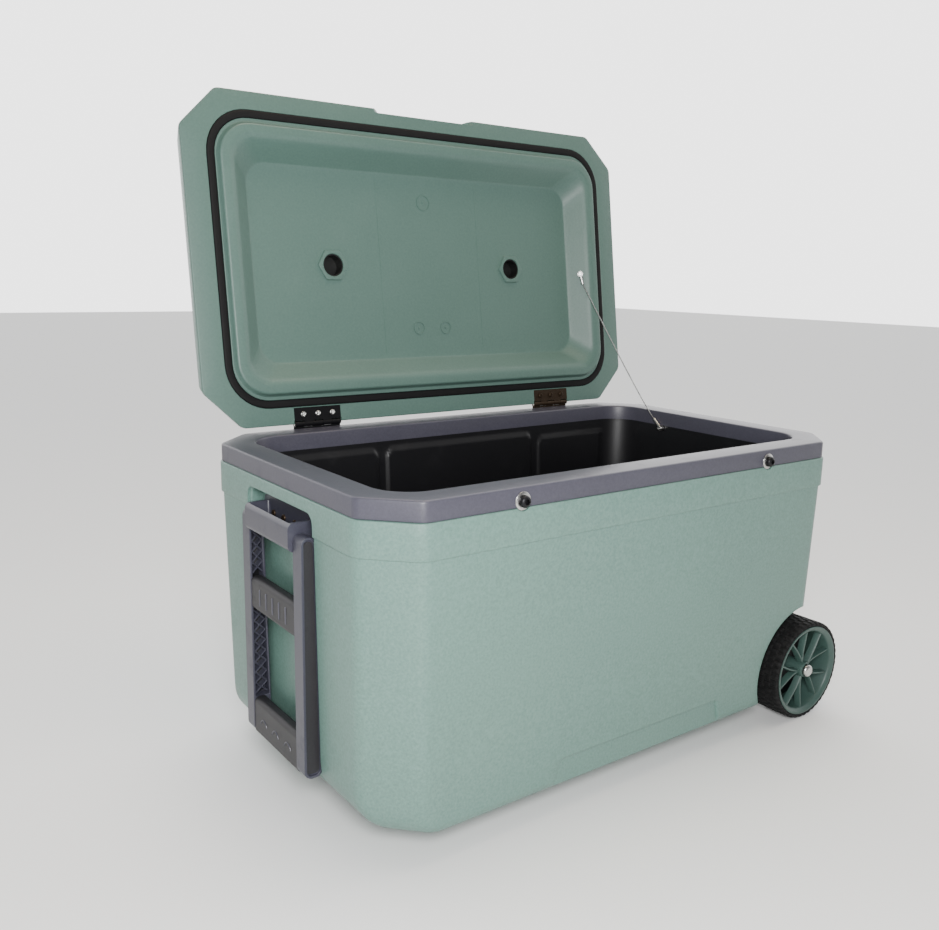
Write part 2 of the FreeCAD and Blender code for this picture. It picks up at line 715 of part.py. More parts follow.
def screwGroup(label, item, spots, place=STILL):
    """Loose copies of one screw: each spot is (x, y, z) of its seat and the way that its head faces."""
    copies = []
    for x, y, z, facing in spots:
        turn = FreeCAD.Rotation(FreeCAD.Vector(0, 0, 1), FreeCAD.Vector(*facing))
        copy = item.Shape.copy()
        copy.Placement = FreeCAD.Placement(FreeCAD.Vector(x, y, z), turn)
        copies.append(copy)
    node = doc.addObject("Part::Feature", label)
    node.Shape = Part.makeCompound(copies)
    node.Placement = place
    return node


panScrew = screwBody("panScrew", "screwHead", "screwHeadTall", "screwRadius", "screwLength", "cross")
socketBolt = screwBody("socketBolt", "studHead", "studHeadTall", "studThread", "studLength", "hexagon")

# ---------------------------------------------------------------- rim collar and its bolts

studSpots = []
for side in (-1, 1):
    seat = -mm(HALF_DEEP) - mm("studWasherThick")
    studSpots.append((side * mm("studX"), seat, mm("rimTop - studDrop"), (0, -1, 0)))
studBolts = screwGroup("stud_bolts", socketBolt, studSpots)

studWasherBody = newBody("studWasherBody")
spin(
    studWasherBody,
    "XZ_Plane",
    "0",
    ("0", "0"),
    [
        ("studThread", "-studWasherThick"),
        ("studWasher", "-studWasherThick"),
        ("studWasher", "-studWasherThick / 2", "studWasherThick / 3"),
        ("studWasher * 0.8", "0"),
        ("studThread", "0"),
    ],
    "V_Axis",
)
screwGroup("stud_washers", studWasherBody, studSpots)
# the washers reach over the top band, which is cut back round them
washerSeats = []
for name, side in (("left", -1), ("right", 1)):
    start = (f"{side} * studX", f"-{HALF_DEEP} - {FAR}", "rimTop - studDrop")
    washerSeats.append(rod("washerSeat_" + name, "Y", start, FAR, "studWasher + studSeatGap"))

hingeBoxScrews = {}
hingeLidScrews = {}
for name, side in (("left", -1), ("right", 1)):
    boxSpots = []
    lidSpots = []
    for step in (-1, 0, 1):
        x = side * mm("hingeX") + step * mm("screwSpacing")
        seat = mm(f"{HALF_DEEP} + leafThick")
        boxSpots.append((x, seat, mm("rimTop - boxLeafDrop / 2"), (0, 1, 0)))
        leafMiddle = mm(f"{HALF_DEEP} - knuckleRadius - leafReach / 2")
        lidSpots.append((x, leafMiddle, mm(LID_BOTTOM), (0, 0, -1)))
    hingeBoxScrews[name] = screwGroup("hinge_box_screws_" + name, panScrew, boxSpots)
    hingeLidScrews[name] = screwGroup("hinge_lid_screws_" + name, panScrew, lidSpots, OPENED)

collarBody = newBody("collarBody")
pad(collarBody, "XY_Plane", RIM_BOTTOM, "rimTop", [octagon(HALF_LONG, HALF_DEEP, "cornerCut")])
pocket(collarBody, "XY_Plane", RIM_BOTTOM, "rimTop", [evenOblong(OPEN_LONG, OPEN_DEEP, "openingRound")])
soften(collarBody, level(mm("rimTop")), "rimRound")
cut("rim_collar", collarBody, [studBolts, *hingeBoxScrews.values()])

# ---------------------------------------------------------------- lid


def lidForm(label, inset, top):
    """The outside of the lid's shell, or its hollow where inset is the wall: it narrows to its top."""
    body = newBody(label, OPENED)
    corner = f"(cornerCut - {CUT_SHRINK} * {inset})"
    plan = octagon(f"({HALF_LONG} - {inset})", f"({HALF_DEEP} - {inset})", corner)
    feature = pad(body, "XY_Plane", PANEL_TOP, top, [plan])
    feature.setExpression("TaperAngle", bound(f"-atan(lidDraft / ({LID_TOP} - {PANEL_TOP}))"))
    settle()
    return body


lidShellBody = lidForm("lidShellBody", "0", LID_TOP)
soften(lidShellBody, level(mm(LID_TOP)), "lidRound")
lidHollow = lidForm("lidHollow", "lidWall", f"{LID_TOP} - lidWall")


def lidNotches(label, grow):
    """Room in the lid for the hinge knuckles and for the fingers at the front, grown by a wall."""
    tools = []
    for name, side in (("left", -1), ("right", 1)):
        middle = f"{side} * hingeX"
        low = (
            f"{middle} - hingeWidth / 2 - 1 - {grow}",
            f"{HALF_DEEP} - knuckleRadius - 1.5 - {grow}",
            f"{LID_BOTTOM} - {FAR}",
        )
        high = (
            f"{middle} + hingeWidth / 2 + 1 + {grow}",
            f"{HALF_DEEP} + {FAR}",
            f"{HINGE_Z} + knuckleRadius + 1.5 + {grow}",
        )
        tools.append(block(f"{label}_{name}", low, high, OPENED))
    low = (f"-notchHalf - {grow}", f"-{HALF_DEEP} - {FAR}", f"{LID_BOTTOM} - {FAR}")
    high = (
        f"notchHalf + {grow}",
        f"-{HALF_DEEP} + notchDeep + {grow}",
        f"{LID_BOTTOM} + notchHeight + {grow}",
    )
    tools.append(block(label + "_finger", low, high, OPENED))
    return tools


lidRoom = cut("lidRoom", lidHollow, lidNotches("innerNotch", "lidWall"))
notches = lidNotches("notch", "0")
cut("lid_outer_shell", lidShellBody, [lidRoom] + notches)

panelPlate = newBody("panelPlate", OPENED)
pad(panelPlate, "XY_Plane", LID_BOTTOM, PANEL_TOP, [octagon(HALF_LONG, HALF_DEEP, "cornerCut")])
LIP_LONG = "(lipLength / 2)"
LIP_DEEP = "(lipDepthAll / 2)"
LIP_LOW = f"({LID_BOTTOM} - lipProud)"
CREST_LONG = f"({LIP_LONG} - lipLean)"
CREST_DEEP = f"({LIP_DEEP} - lipLean)"
MOUTH_LONG = f"({LIP_LONG} - lipLean - lipCrest)"
MOUTH_DEEP = f"({LIP_DEEP} - lipLean - lipCrest)"
lipBlock = newBody("lipBlock", OPENED)
crestPlan = evenOblong(CREST_LONG, CREST_DEEP, "(lipRound - lipLean)")
loft(lipBlock, [(LIP_LOW, crestPlan), (LID_BOTTOM, evenOblong(LIP_LONG, LIP_DEEP, "lipRound"))])


def dishForm(label, low, top, grow):
    """The hollow of the dish, or its back where grow is the wall: it narrows towards its floor."""
    body = newBody(label, OPENED)
    mouth = evenOblong(
        f"({MOUTH_LONG} + {grow})",
        f"({MOUTH_DEEP} + {grow})",
        f"(lipRound - lipLean - lipCrest + {grow})",
    )
    floor = evenOblong(
        f"({MOUTH_LONG} - dishSlope + {grow})",
        f"({MOUTH_DEEP} - dishSlopeSide + {grow})",
        f"(dishRound + {grow})",
    )
    loft(body, [(low, mouth), (top, floor)])
    return body


dishInside = dishForm("dishInside", LIP_LOW, DISH_TOP, "0")
dishBack = dishForm("dishBack", LIP_LOW, f"{DISH_TOP} + lidWall", "lidWall")
dishBelow = block(
    "dishBelow",
    (f"-{HALF_LONG}", f"-{HALF_DEEP}", f"{LIP_LOW} - {FAR}"),
    (HALF_LONG, HALF_DEEP, LID_BOTTOM),
    OPENED,
)
dishShell = cut("dishShell", dishBack, [dishBelow])
panelBlank = fuse("panelBlank", [panelPlate, lipBlock, dishShell])

GROOVE_LONG = "(grooveLength / 2)"
GROOVE_DEEP = "(grooveDepthAll / 2)"
grooveOuter = evenOblong(GROOVE_LONG, GROOVE_DEEP, "grooveRound")
grooveInner = evenOblong(
    f"({GROOVE_LONG} - grooveWidth)", f"({GROOVE_DEEP} - grooveWidth)", "(grooveRound - grooveWidth)"
)
groove = newBody("groove", OPENED)
grooveTop = f"{LID_BOTTOM} + grooveDeep"
pad(groove, "XY_Plane", f"{LID_BOTTOM} - lipProud", grooveTop, [grooveOuter, grooveInner])
lidGasket = newBody("lid_gasket", OPENED)
pad(lidGasket, "XY_Plane", "rimTop + gasketGap", grooveTop, [grooveOuter, grooveInner])

leafPockets = []
for name, side in (("left", -1), ("right", 1)):
    middle = f"{side} * hingeX"
    low = (
        f"{middle} - hingeWidth / 2 - 0.3",
        f"{HALF_DEEP} - knuckleRadius - leafReach - 0.3",
        f"{LID_BOTTOM} - 1",
    )
    high = (f"{middle} + hingeWidth / 2 + 0.3", f"{HALF_DEEP}", f"{LID_BOTTOM} + leafThick")
    leafPockets.append(block("leafPocket_" + name, low, high, OPENED))

# the anchor of the stay cable sits on the sloping end wall of the dish
slopeRun = FreeCAD.Vector(-mm("dishSlope"), 0, mm("dishDeep + lipProud"))
share = mm("anchorShare")
anchorShut = FreeCAD.Vector(mm(MOUTH_LONG), mm("anchorY"), mm(LIP_LOW)) + slopeRun * share
anchorFacing = FreeCAD.Vector(-slopeRun.z, 0, slopeRun.x).normalize()
anchorSeat = anchorShut + anchorFacing * mm("lugThick")
lidAnchorScrew = screwGroup(
    "stay_lid_screw", panScrew, [(anchorSeat.x, anchorSeat.y, anchorSeat.z, tuple(anchorFacing))], OPENED
)

lidScrews = [*hingeLidScrews.values(), lidAnchorScrew]
panelTools = [dishInside, groove] + lidScrews + leafPockets + notches
panelCut = cut("panelCut", panelBlank, panelTools)
portRims = []
portBores = []
portBlanks = []
portPlugs = []
for name, side in (("left", -1), ("right", 1)):
    spot = f"{side} * portX"
    rim = newBody("portRim_" + name, OPENED)
    pad(rim, "XY_Plane", f"{DISH_TOP} - portProud", DISH_TOP, [hexagon("portRim", spot)])
    portRims.append(rim)
    start = (spot, "0", f"{DISH_TOP} - portProud - 1")
    portBores.append(rod("portBore_" + name, "Z", start, "portProud + 1 + lidWall", "portRadius", OPENED))
    # a cup closes each port: its rim stands in the bore and its end lies in the foam
    reach = "1 + lidWall + portDeep"
    blank = rod("portBlank_" + name, "Z", (spot, "0", f"{DISH_TOP} - 1"), reach, "portRadius", OPENED)
    start = (spot, "0", f"{DISH_TOP} - 1 - portWall")
    hollow = rod("portHollow_" + name, "Z", start, reach, "portRadius - portWall", OPENED)
    portBlanks.append(blank)
    portPlugs.append(cut("portPlug_" + name, blank, [hollow]))
panelSolid = fuse("panelSolid", [panelCut] + portRims)
cut("lid_inner_panel", panelSolid, portBores)
cut("lid_foam", lidRoom, [panelBlank] + lidScrews + portBlanks)


def loosePair(label, pieces):
    """One node that holds loose pieces."""
    node = doc.addObject("Part::Compound", label)
    node.Links = pieces
    settle()
    return node


loosePair("port_plugs", portPlugs)

# ---------------------------------------------------------------- hinges


def knuckleSpans(middle, first):
    """Start and end of every second knuckle of five, as expressions."""
    spans = []
    for index in range(first, 5, 2):
        low = f"{middle} - hingeWidth / 2 + hingeWidth * {index} / 5 + knuckleGap / 2"
        high = f"{middle} - hingeWidth / 2 + hingeWidth * {index + 1} / 5 - knuckleGap / 2"
        spans.append((low, high))
    return spans


def hingeLeaf(label, middle, first, plate, tabs, bore, screws, place):
    """A leaf: its plate, a tab to each of its knuckles, and the bore and screw holes through them."""
    pieces = [block(label + "_plate", *plate, place)]
    for number, (low, high) in enumerate(knuckleSpans(middle, first)):
        (tabLowY, tabLowZ), (tabHighY, tabHighZ) = tabs
        near, far = (low, tabLowY, tabLowZ), (high, tabHighY, tabHighZ)
        pieces.append(block(f"{label}_tab{number}", near, far, place))
        start, reach = (low, HALF_DEEP, HINGE_Z), f"({high}) - ({low})"
        pieces.append(rod(f"{label}_knuckle{number}", "X", start, reach, "knuckleRadius", place))
    start = (f"{middle} - hingeWidth", HALF_DEEP, HINGE_Z)
    boreTool = rod(label + "_bore", "X", start, "2 * hingeWidth", bore, place)
    return cut(label, fuse(label + "_blank", pieces), [boreTool, screws])


for name, side in (("left", -1), ("right", 1)):
    middle = f"{side} * hingeX"
    left = f"{middle} - hingeWidth / 2"
    right = f"{middle} + hingeWidth / 2"
    plateEnd = f"{HALF_DEEP} - knuckleRadius - 0.3"
    plate = (
        (left, f"{HALF_DEEP} - knuckleRadius - leafReach", LID_BOTTOM),
        (right, plateEnd, f"{LID_BOTTOM} + leafThick"),
    )
    tabs = ((plateEnd, LID_BOTTOM), (f"{HALF_DEEP} - hingePinRadius - 0.5", f"{LID_BOTTOM} + leafThick"))
    bore = "hingePinRadius + runningGap"
    hingeLeaf("hinge_lid_leaf_" + name, middle, 1, plate, tabs, bore, hingeLidScrews[name], OPENED)
    plateTop = f"{HINGE_Z} - knuckleRadius - 0.3"
    plate = ((left, HALF_DEEP, "rimTop - boxLeafDrop"), (right, f"{HALF_DEEP} + leafThick", plateTop))
    tabs = ((HALF_DEEP, plateTop), (f"{HALF_DEEP} + leafThick", f"{HINGE_Z} - hingePinRadius - 0.5"))
    bore = "hingePinRadius"
    hingeLeaf("hinge_box_leaf_" + name, middle, 0, plate, tabs, bore, hingeBoxScrews[name], STILL)
    rod("hinge_pin_" + name, "X", (left, HALF_DEEP, HINGE_Z), "hingeWidth", "hingePinRadius")

# ---------------------------------------------------------------- stay cable, rest route

# The cable runs from its ferrule on the lid's dish to its ferrule at the eye in the tub.
CABLE_ROUTE = [(296, 242, 593), (328, 118, 400), (330, 97, 383)]


def tubeAlong(label, route, radius):
    """A round tube on straight runs joined by tangent arcs, each as large as its two runs allow."""
    spots = [FreeCAD.Vector(*spot) for spot in route]
    edges = []
    start = spots[0]
    for before, corner, after in zip(spots, spots[1:], spots[2:]):
        back, ahead = before - corner, after - corner
        run = min(back.Length, ahead.Length)
        back.normalize()
        ahead.normalize()
        half = back.getAngle(ahead) / 2
        leg = 0.45 * run
        bend = leg * math.tan(half)
        inward = (back + ahead).normalize()
        middle = corner + inward * (bend / math.sin(half) - bend)
        edges.append(Part.LineSegment(start, corner + back * leg).toShape())
        edges.append(Part.Arc(corner + back * leg, middle, corner + ahead * leg).toShape())
        start = corner + ahead * leg
        print(f"{label}: bend radius {bend:.0f} mm")
    edges.append(Part.LineSegment(start, spots[-1]).toShape())
    path = Part.Wire(edges)
    circle = Part.Wire(Part.makeCircle(radius, spots[0], spots[1] - spots[0]))
    node = doc.addObject("Part::Feature", label)
    node.Shape = path.makePipeShell([circle], True, False)
    fill = node.Shape.Volume / (math.pi * radius**2 * path.Length)
    print(f"{label}: length {path.Length:.1f} mm, volume over section times length {fill:.4f}")
    return node


def cableEnd(label, end, seat, facing, screw):
    """A crimped ferrule on the cable's end, joined to the eye that its screw holds."""
    radius, thick = mm("lugRadius"), mm("lugThick")
    eyeMiddle = seat + facing * (thick / 2)
    way = eyeMiddle - end
    sleeve = Part.makeCylinder(mm("ferruleRadius"), way.Length - mm("screwRadius") - 1, end, way)
    eye = Part.makeCylinder(radius, thick, seat, facing)
    node = doc.addObject("Part::Feature", label)
    node.Shape = sleeve.fuse(eye).cut([screw.Shape, stayCable.Shape])
    print(f"{label}: ferrule {way.Length - radius:.1f} mm long")
    return node


stayCable = tubeAlong("stay_cable", CABLE_ROUTE, mm("cableRadius"))
lidWay = OPENED.Rotation.multVec(anchorFacing)
cableEnd(
    "stay_lid_ferrule",
    FreeCAD.Vector(*CABLE_ROUTE[0]),
    OPENED.multVec(anchorShut),
    lidWay,
    lidAnchorScrew,
)
tubSeat = FreeCAD.Vector(mm(f"{OPEN_LONG} - tubEyeGap"), mm("tubEyeY"), mm("rimTop - tubEyeDrop"))
tubFacing = FreeCAD.Vector(-1, 0, 0)
tubScrewSeat = tubSeat + tubFacing * mm("lugThick")
tubEyeScrew = screwGroup("stay_tub_screw", panScrew, [(*tubScrewSeat, tuple(tubFacing))])
cableEnd("stay_tub_ferrule", FreeCAD.Vector(*CABLE_ROUTE[-1]), tubSeat, tubFacing, tubEyeScrew)

# ---------------------------------------------------------------- wheels


def sided(side, corners):
    """Corners of a wheel part on the side that the sign gives: the first value runs along the axle."""
    return [(f"{side} * ({c[0]})", *c[1:]) for c in corners]


AXLE = ("0", "wheelRadius")
HUB_INNER = f"({ARCH_WALL} + washerThick + sideGap)"
HUB_OUTER = "(wheelOuter - 3)"
TYRE_INNER = "(wheelRadius - tyreDepth)"
RING_INNER = "(wheelRadius - tyreDepth - ringThick)"
for name, side in (("front", -1), ("rear", 1)):
    tyre = newBody("tyre_" + name)
    corners = [
        (WHEEL_INNER, TYRE_INNER),
        ("wheelOuter", TYRE_INNER),
        ("wheelOuter", "wheelRadius", "6"),
        (WHEEL_INNER, "wheelRadius", "6"),
    ]
    spin(tyre, "YZ_Plane", "axleX", AXLE, sided(side, corners), "H_Axis")
    rim = newBody("wheel_rim_" + name)
    corners = [
        (f"{WHEEL_INNER} + 3", RING_INNER),
        (HUB_OUTER, RING_INNER),
        (HUB_OUTER, TYRE_INNER),
        (f"{WHEEL_INNER} + 3", TYRE_INNER),
    ]
    spin(rim, "YZ_Plane", "axleX", AXLE, sided(side, corners), "H_Axis")
    spokeTop = f"{HUB_OUTER} - 2"
    spoke = newSketch(rim, "XZ_Plane", f"{side} * ({spokeTop})", ("axleX", "wheelRadius"))
    outline(
        spoke,
        [
            ("-spokeWidth / 2", "hubRadius - 3"),
            ("spokeWidth / 2", "hubRadius - 3"),
            ("spokeWidth / 2", f"{RING_INNER} + 2"),
            ("-spokeWidth / 2", f"{RING_INNER} + 2"),
        ],
    )
    arm = rim.newObject("PartDesign::Pad", "spokePad_" + name)
    arm.Profile = spoke
    arm.AllowMultiFace = True
    arm.setExpression("Length", bound("spokeDepth"))
    arm.Reversed = side < 0
    star = rim.newObject("PartDesign::PolarPattern", "spokes_" + name)
    star.Originals = [arm]
    star.Axis = (spoke, ["N_Axis"])
    star.Angle = 360
    star.setExpression("Occurrences", bound("spokeCount"))
    rim.Tip = star
    corners = [
        (HUB_INNER, BUSH_RADIUS),
        (HUB_OUTER, BUSH_RADIUS),
        (HUB_OUTER, "hubRadius", "2"),
        (HUB_INNER, "hubRadius"),
    ]
    spin(rim, "YZ_Plane", "axleX", AXLE, sided(side, corners), "H_Axis")
    bush = newBody("wheel_bush_" + name)
    corners = [
        (HUB_INNER, BUSH_BORE),
        (HUB_OUTER, BUSH_BORE),
        (HUB_OUTER, BUSH_RADIUS),
        (HUB_INNER, BUSH_RADIUS),
    ]
    spin(bush, "YZ_Plane", "axleX", AXLE, sided(side, corners), "H_Axis")

rod("axle", "Y", ("axleX", "-wheelOuter - 1", "wheelRadius"), "2 * wheelOuter + 2", "axleRadius")
washers = []
caps = []
for name, side in (("front", -1), ("rear", 1)):
    washer = newBody("axleWasher_" + name)
    corners = [
        (ARCH_WALL, "axleRadius"),
        (f"{ARCH_WALL} + washerThick", "axleRadius"),
        (f"{ARCH_WALL} + washerThick", "hubRadius"),
        (ARCH_WALL, "hubRadius"),
    ]
    spin(washer, "YZ_Plane", "axleX", AXLE, sided(side, corners), "H_Axis")
    washers.append(washer)
    cap = newBody("axleCap_" + name)
    capStart = f"{HUB_OUTER} + sideGap"
    corners = [
        (capStart, "axleRadius"),
        ("wheelOuter + 1", "axleRadius"),
        ("wheelOuter + 1", "0"),
        (f"{capStart} + capHeight", "0"),
        (f"{capStart} + capHeight", "capRadius", "capHeight * 0.7"),
        (capStart, "capRadius"),
    ]
    spin(cap, "YZ_Plane", "axleX", AXLE, sided(side, corners), "H_Axis")
    caps.append(cap)
loosePair("axle_washers", washers)
loosePair("axle_caps", caps)

# ---------------------------------------------------------------- tow handle and its bracket

ARM_TOP = f"({PIVOT_Z} + armDepthTop / 2)"
PIVOT_BORE = "(pinRadius + runningGap)"


def armSide(inset):
    """An arm from the side: round about its pivot, deeper and rounded at its lower end."""
    topRound = f"(armDepthTop / 2 - {inset} - 0.8)"
    endRound = f"(armDepthEnd / 2 - {inset} - 1.5)"
    return [
        (f"{ARM_FACE} + {inset}", f"{ARM_TOP} - {inset}", topRound),
        (f"{ARM_FACE} + armDepthTop - {inset}", f"{ARM_TOP} - {inset}", topRound),
        (f"{ARM_FACE} + armDepthEnd - {inset}", f"handleEnd + {inset}", endRound),
        (f"{ARM_FACE} + {inset}", f"handleEnd + {inset}", endRound),
    ]


for name, side in (("front", -1), ("rear", 1)):
    arm = newBody("armBlank_" + name)
    outer, inner = f"{side} * handleHalf", f"{side} * {ARM_INNER}"
    low, high = (outer, inner) if side < 0 else (inner, outer)
    pad(arm, "XZ_Plane", low, high, [armSide("0")])
    fluteTool = newBody("armFlute_" + name)
    edge = (outer, f"{outer} + armFlute") if side < 0 else (f"{outer} - armFlute", outer)
    pad(fluteTool, "XZ_Plane", *edge, [armSide("armRim")])
    hollowTool = newBody("armHollow_" + name)
    edge = (f"{inner} - armCavity", inner) if side < 0 else (inner, f"{inner} + armCavity")
    hollow = armSide("armRim")
    hollow[0] = (hollow[0][0], f"{PIVOT_Z} - pinRadius - 6")
    hollow[1] = (hollow[1][0], f"{PIVOT_Z} - pinRadius - 6")
    hollow[2] = (hollow[2][0], "handleEnd + endGripHeight")
    hollow[3] = (hollow[3][0], "handleEnd + endGripHeight")
    pad(hollowTool, "XZ_Plane", *edge, [hollow])
    boreStart = (PIVOT_X, f"-{ARM_INNER} - 13" if side < 0 else f"{ARM_INNER} - {FAR}", PIVOT_Z)
    boreTool = rod("armBore_" + name, "Y", boreStart, f"13 + {FAR}", PIVOT_BORE)
    cut("handle_arm_" + name, arm, [fluteTool, hollowTool, boreTool])

GRIP_FACE = f"({ARM_FACE} + 1)"
for name, top, height in (
    ("handle_mid_grip", "rimTop - midGripTop", "midGripHeight"),
    ("handle_end_grip", "handleEnd + endGripHeight", "endGripHeight"),
):
    grip = newBody(name)
    shape = oblong(GRIP_FACE, f"{GRIP_FACE} + gripDepth", f"{top} - {height}", top, "gripRound")
    pad(grip, "XZ_Plane", f"-{ARM_INNER}", ARM_INNER, [shape])

BRACKET_TOP = "(rimTop - bracketTop)"
BRACKET_FACE = "(-boxLength / 2 - bracketProud)"
bracketBlank = newBody("bracketBlank")
plate = [
    ("-bracketPlateHalf", f"{BRACKET_TOP} - bracketHeight"),
    ("bracketPlateHalf", f"{BRACKET_TOP} - bracketHeight"),
    ("bracketPlateHalf", f"{BRACKET_TOP} + 6", "8"),
    ("-bracketPlateHalf", f"{BRACKET_TOP} + 6", "8"),
]
pad(bracketBlank, "YZ_Plane", f"{RECESS_X} - bracketWall", RECESS_X, [plate])
trough = [
    (BRACKET_FACE, f"{BRACKET_TOP} - bracketHeight", "7"),
    (RECESS_X, f"{BRACKET_TOP} - bracketHeight"),
    (RECESS_X, BRACKET_TOP),
    (BRACKET_FACE, BRACKET_TOP, "7"),
]
pad(bracketBlank, "XZ_Plane", "-bracketHalf", "bracketHalf", [trough])
hollow = oblong(
    f"{BRACKET_FACE} + bracketWall",
    f"{RECESS_X} - bracketWall",
    "-bracketHalf + bracketWall",
    "bracketHalf - bracketWall",
    "3",
)
hollowFloor = f"{BRACKET_TOP} - bracketHeight + bracketWall"
pocket(bracketBlank, "XY_Plane", hollowFloor, f"{BRACKET_TOP} + 8", [hollow])

bracketSpots = []
for across in (-40, -14, 14, 40):
    bracketSpots.append((mm(f"{RECESS_X} - bracketWall"), across, mm(f"{PIVOT_Z} + 8"), (-1, 0, 0)))
bracketScrews = screwGroup("bracket_screws", panScrew, bracketSpots)
pins = []
for name, side in (("front", -1), ("rear", 1)):
    inner = "bracketHalf - bracketWall - 2"
    outer = f"{ARM_INNER} + 12"
    start = (PIVOT_X, f"-({outer})" if side < 0 else inner, PIVOT_Z)
    pins.append(rod("pivotPin_" + name, "Y", start, f"{outer} - ({inner})", "pinRadius"))
pivotPins = loosePair("handle_pivot_pins", pins)
cut("handle_bracket", bracketBlank, [bracketScrews, pivotPins])

# ---------------------------------------------------------------- feet

footBlocks = []
footPads = []
footSpots = []
for name, side in (("front", -1), ("rear", 1)):
    for label, low, high, group in (
        ("footBlock_", "footPad", "bodyBottom", footBlocks),
        ("footPad_", "0", "footPad", footPads),
    ):
        body = newBody(label + name)
        middle = f"{side} * footY"
        plan = oblong(
            "-footX - footLength / 2",
            "-footX + footLength / 2",
            f"{middle} - footWidth / 2",
            f"{middle} + footWidth / 2",
            "footRound",
        )
        pad(body, "XY_Plane", low, high, [plan])
        group.append(body)
    for step in (-1, 1):
        x = -mm("footX") + step * mm("footLength / 4")
        footSpots.append((x, side * mm("footY"), mm("footPad"), (0, 0, -1)))
footScrew = screwBody("footScrew", "screwHead", "screwHeadTall", "screwRadius", "footScrewLength", "cross")
footScrews = screwGroup("foot_screws", footScrew, footSpots)
footBlockPair = loosePair("footBlockPair", footBlocks)
footPadPair = loosePair("footPadPair", footPads)
cut("foot_blocks", footBlockPair, [footScrews])
padHoles = []
for number, (x, y, z, facing) in enumerate(footSpots):
    hole = rod(f"padHole{number}", "Z", (str(x), str(y), "-1"), "footPad + 1", "footScrewHole")
    padHoles.append(hole)
cut("foot_pads", footPadPair, padHoles)

# ---------------------------------------------------------------- drain

DRAIN_SEAT = f"({HALF_DEEP} - 3)"
DRAIN_LINE = ("0", "drainZ")
DRAIN_OUT = "(drainBore + drainWall)"
DRAIN_INNER = f"({OPEN_DEEP} - linerDraft - 7)"
drainBoss = rod("drainBoss", "Y", ("drainX", f"{DRAIN_SEAT} - 4", "drainZ"), "4", "drainFlange + 2")


def drainRing(label, start, length, bore, radius, bevel="0"):
    """A ring about the drain's line."""
    body = newBody(label)
    end = f"{start} + {length}"
    edge = (end, radius, bevel) if bevel != "0" else (end, radius)
    corners = [(start, bore), (end, bore), edge, (start, radius)]
    spin(body, "YZ_Plane", "drainX", DRAIN_LINE, corners, "H_Axis")
    return body


drainTube = drainRing("drainTube", DRAIN_INNER, f"{DRAIN_SEAT} - {DRAIN_INNER} + 1", "drainBore", DRAIN_OUT)
flangeStart = f"({DRAIN_SEAT} + drainSeal)"
drainRing("drain_gasket", DRAIN_SEAT, "drainSeal", DRAIN_OUT, "drainFlange - 1")
drainFlangeRing = drainRing(
    "drainFlangeRing", flangeStart, "drainFlangeThick", "drainBore", "drainFlange", "1.5"
)
drainLink = drainRing("drainLink", DRAIN_SEAT, "drainSeal + 1", "drainBore", DRAIN_OUT)
fuse("drain_fitting", [drainTube, drainLink, drainFlangeRing])
plugSeat = f"({flangeStart} + drainFlangeThick + sideGap)"
drainRing("drain_plug_seal", plugSeat, "drainSeal", "drainBore - runningGap", "drainBore + 4")
plugBlank = newBody("plugBlank")
stemEnd = f"{plugSeat} - plugStem"
corners = [
    (stemEnd, "0"),
    (stemEnd, "drainBore - runningGap", "1.5"),
    (f"{plugSeat} + drainSeal", "drainBore - runningGap"),
    (f"{plugSeat} + drainSeal", "plugHead"),
    (f"{plugSeat} + drainSeal + plugHeadTall", "plugHead", "2"),
    (f"{plugSeat} + drainSeal + plugHeadTall", "0"),
]
spin(plugBlank, "YZ_Plane", "drainX", DRAIN_LINE, corners, "H_Axis")
gripCuts = []
for step in range(8):
    angle = math.radians(45 * step)
    x = f"drainX + (plugHead + 3) * {math.cos(angle)}"
    z = f"drainZ + (plugHead + 3) * {math.sin(angle)}"
    start = (x, f"{plugSeat} + drainSeal - 1", z)
    gripCuts.append(rod(f"gripCut{step}", "Y", start, "plugHeadTall + 2", "5"))
cut("drain_plug", plugBlank, gripCuts)

# ---------------------------------------------------------------- walls that the other pieces pass through

bossed = fuse("bossed", [boxOutside, drainBoss])
cut(
    "outer_shell",
    bossed,
    archTools("arch", "0")
    + [recessTool("recess", "0"), foamRoom, drainHole, sleeveHole, bracketScrews, footScrews]
    + washerSeats,
)
linerWalls = cut("linerWalls", linerBlank, [linerInside])
cut("liner", linerWalls, [drainHole, tubEyeScrew])
cut("body_foam", foamRoom, [linerBlank, sleeveHole, drainHole, bracketScrews, footScrews, tubEyeScrew])
nutBlank = drainRing("nutBlank", DRAIN_INNER, "9", DRAIN_OUT, "drainFlange - 1", "0")
cut("drain_nut", nutBlank, [linerWalls])

# ---------------------------------------------------------------- nodes

NODES = [
    "outer_shell", "liner", "body_foam", "rim_collar", "stud_bolts", "stud_washers",
    "hinge_box_leaf_left", "hinge_box_leaf_right", "hinge_pin_left", "hinge_pin_right",
    "hinge_box_screws_left", "hinge_box_screws_right",
    "stay_tub_screw", "stay_tub_ferrule", "stay_cable", "stay_lid_screw", "stay_lid_ferrule",
    "handle_bracket", "bracket_screws", "handle_pivot_pins",
    "handle_arm_front", "handle_arm_rear", "handle_mid_grip", "handle_end_grip",
    "foot_blocks", "foot_pads", "foot_screws",
    "axle", "axle_sleeve", "axle_washers", "axle_caps",
    "tyre_front", "tyre_rear", "wheel_rim_front", "wheel_rim_rear", "wheel_bush_front", "wheel_bush_rear",
    "drain_fitting", "drain_nut", "drain_gasket", "drain_plug", "drain_plug_seal",
    "lid_outer_shell", "lid_inner_panel", "lid_foam", "lid_gasket", "port_plugs",
    "hinge_lid_leaf_left", "hinge_lid_leaf_right", "hinge_lid_screws_left", "hinge_lid_screws_right",
]
settle()
os.makedirs("parts", exist_ok=True)
ready = []
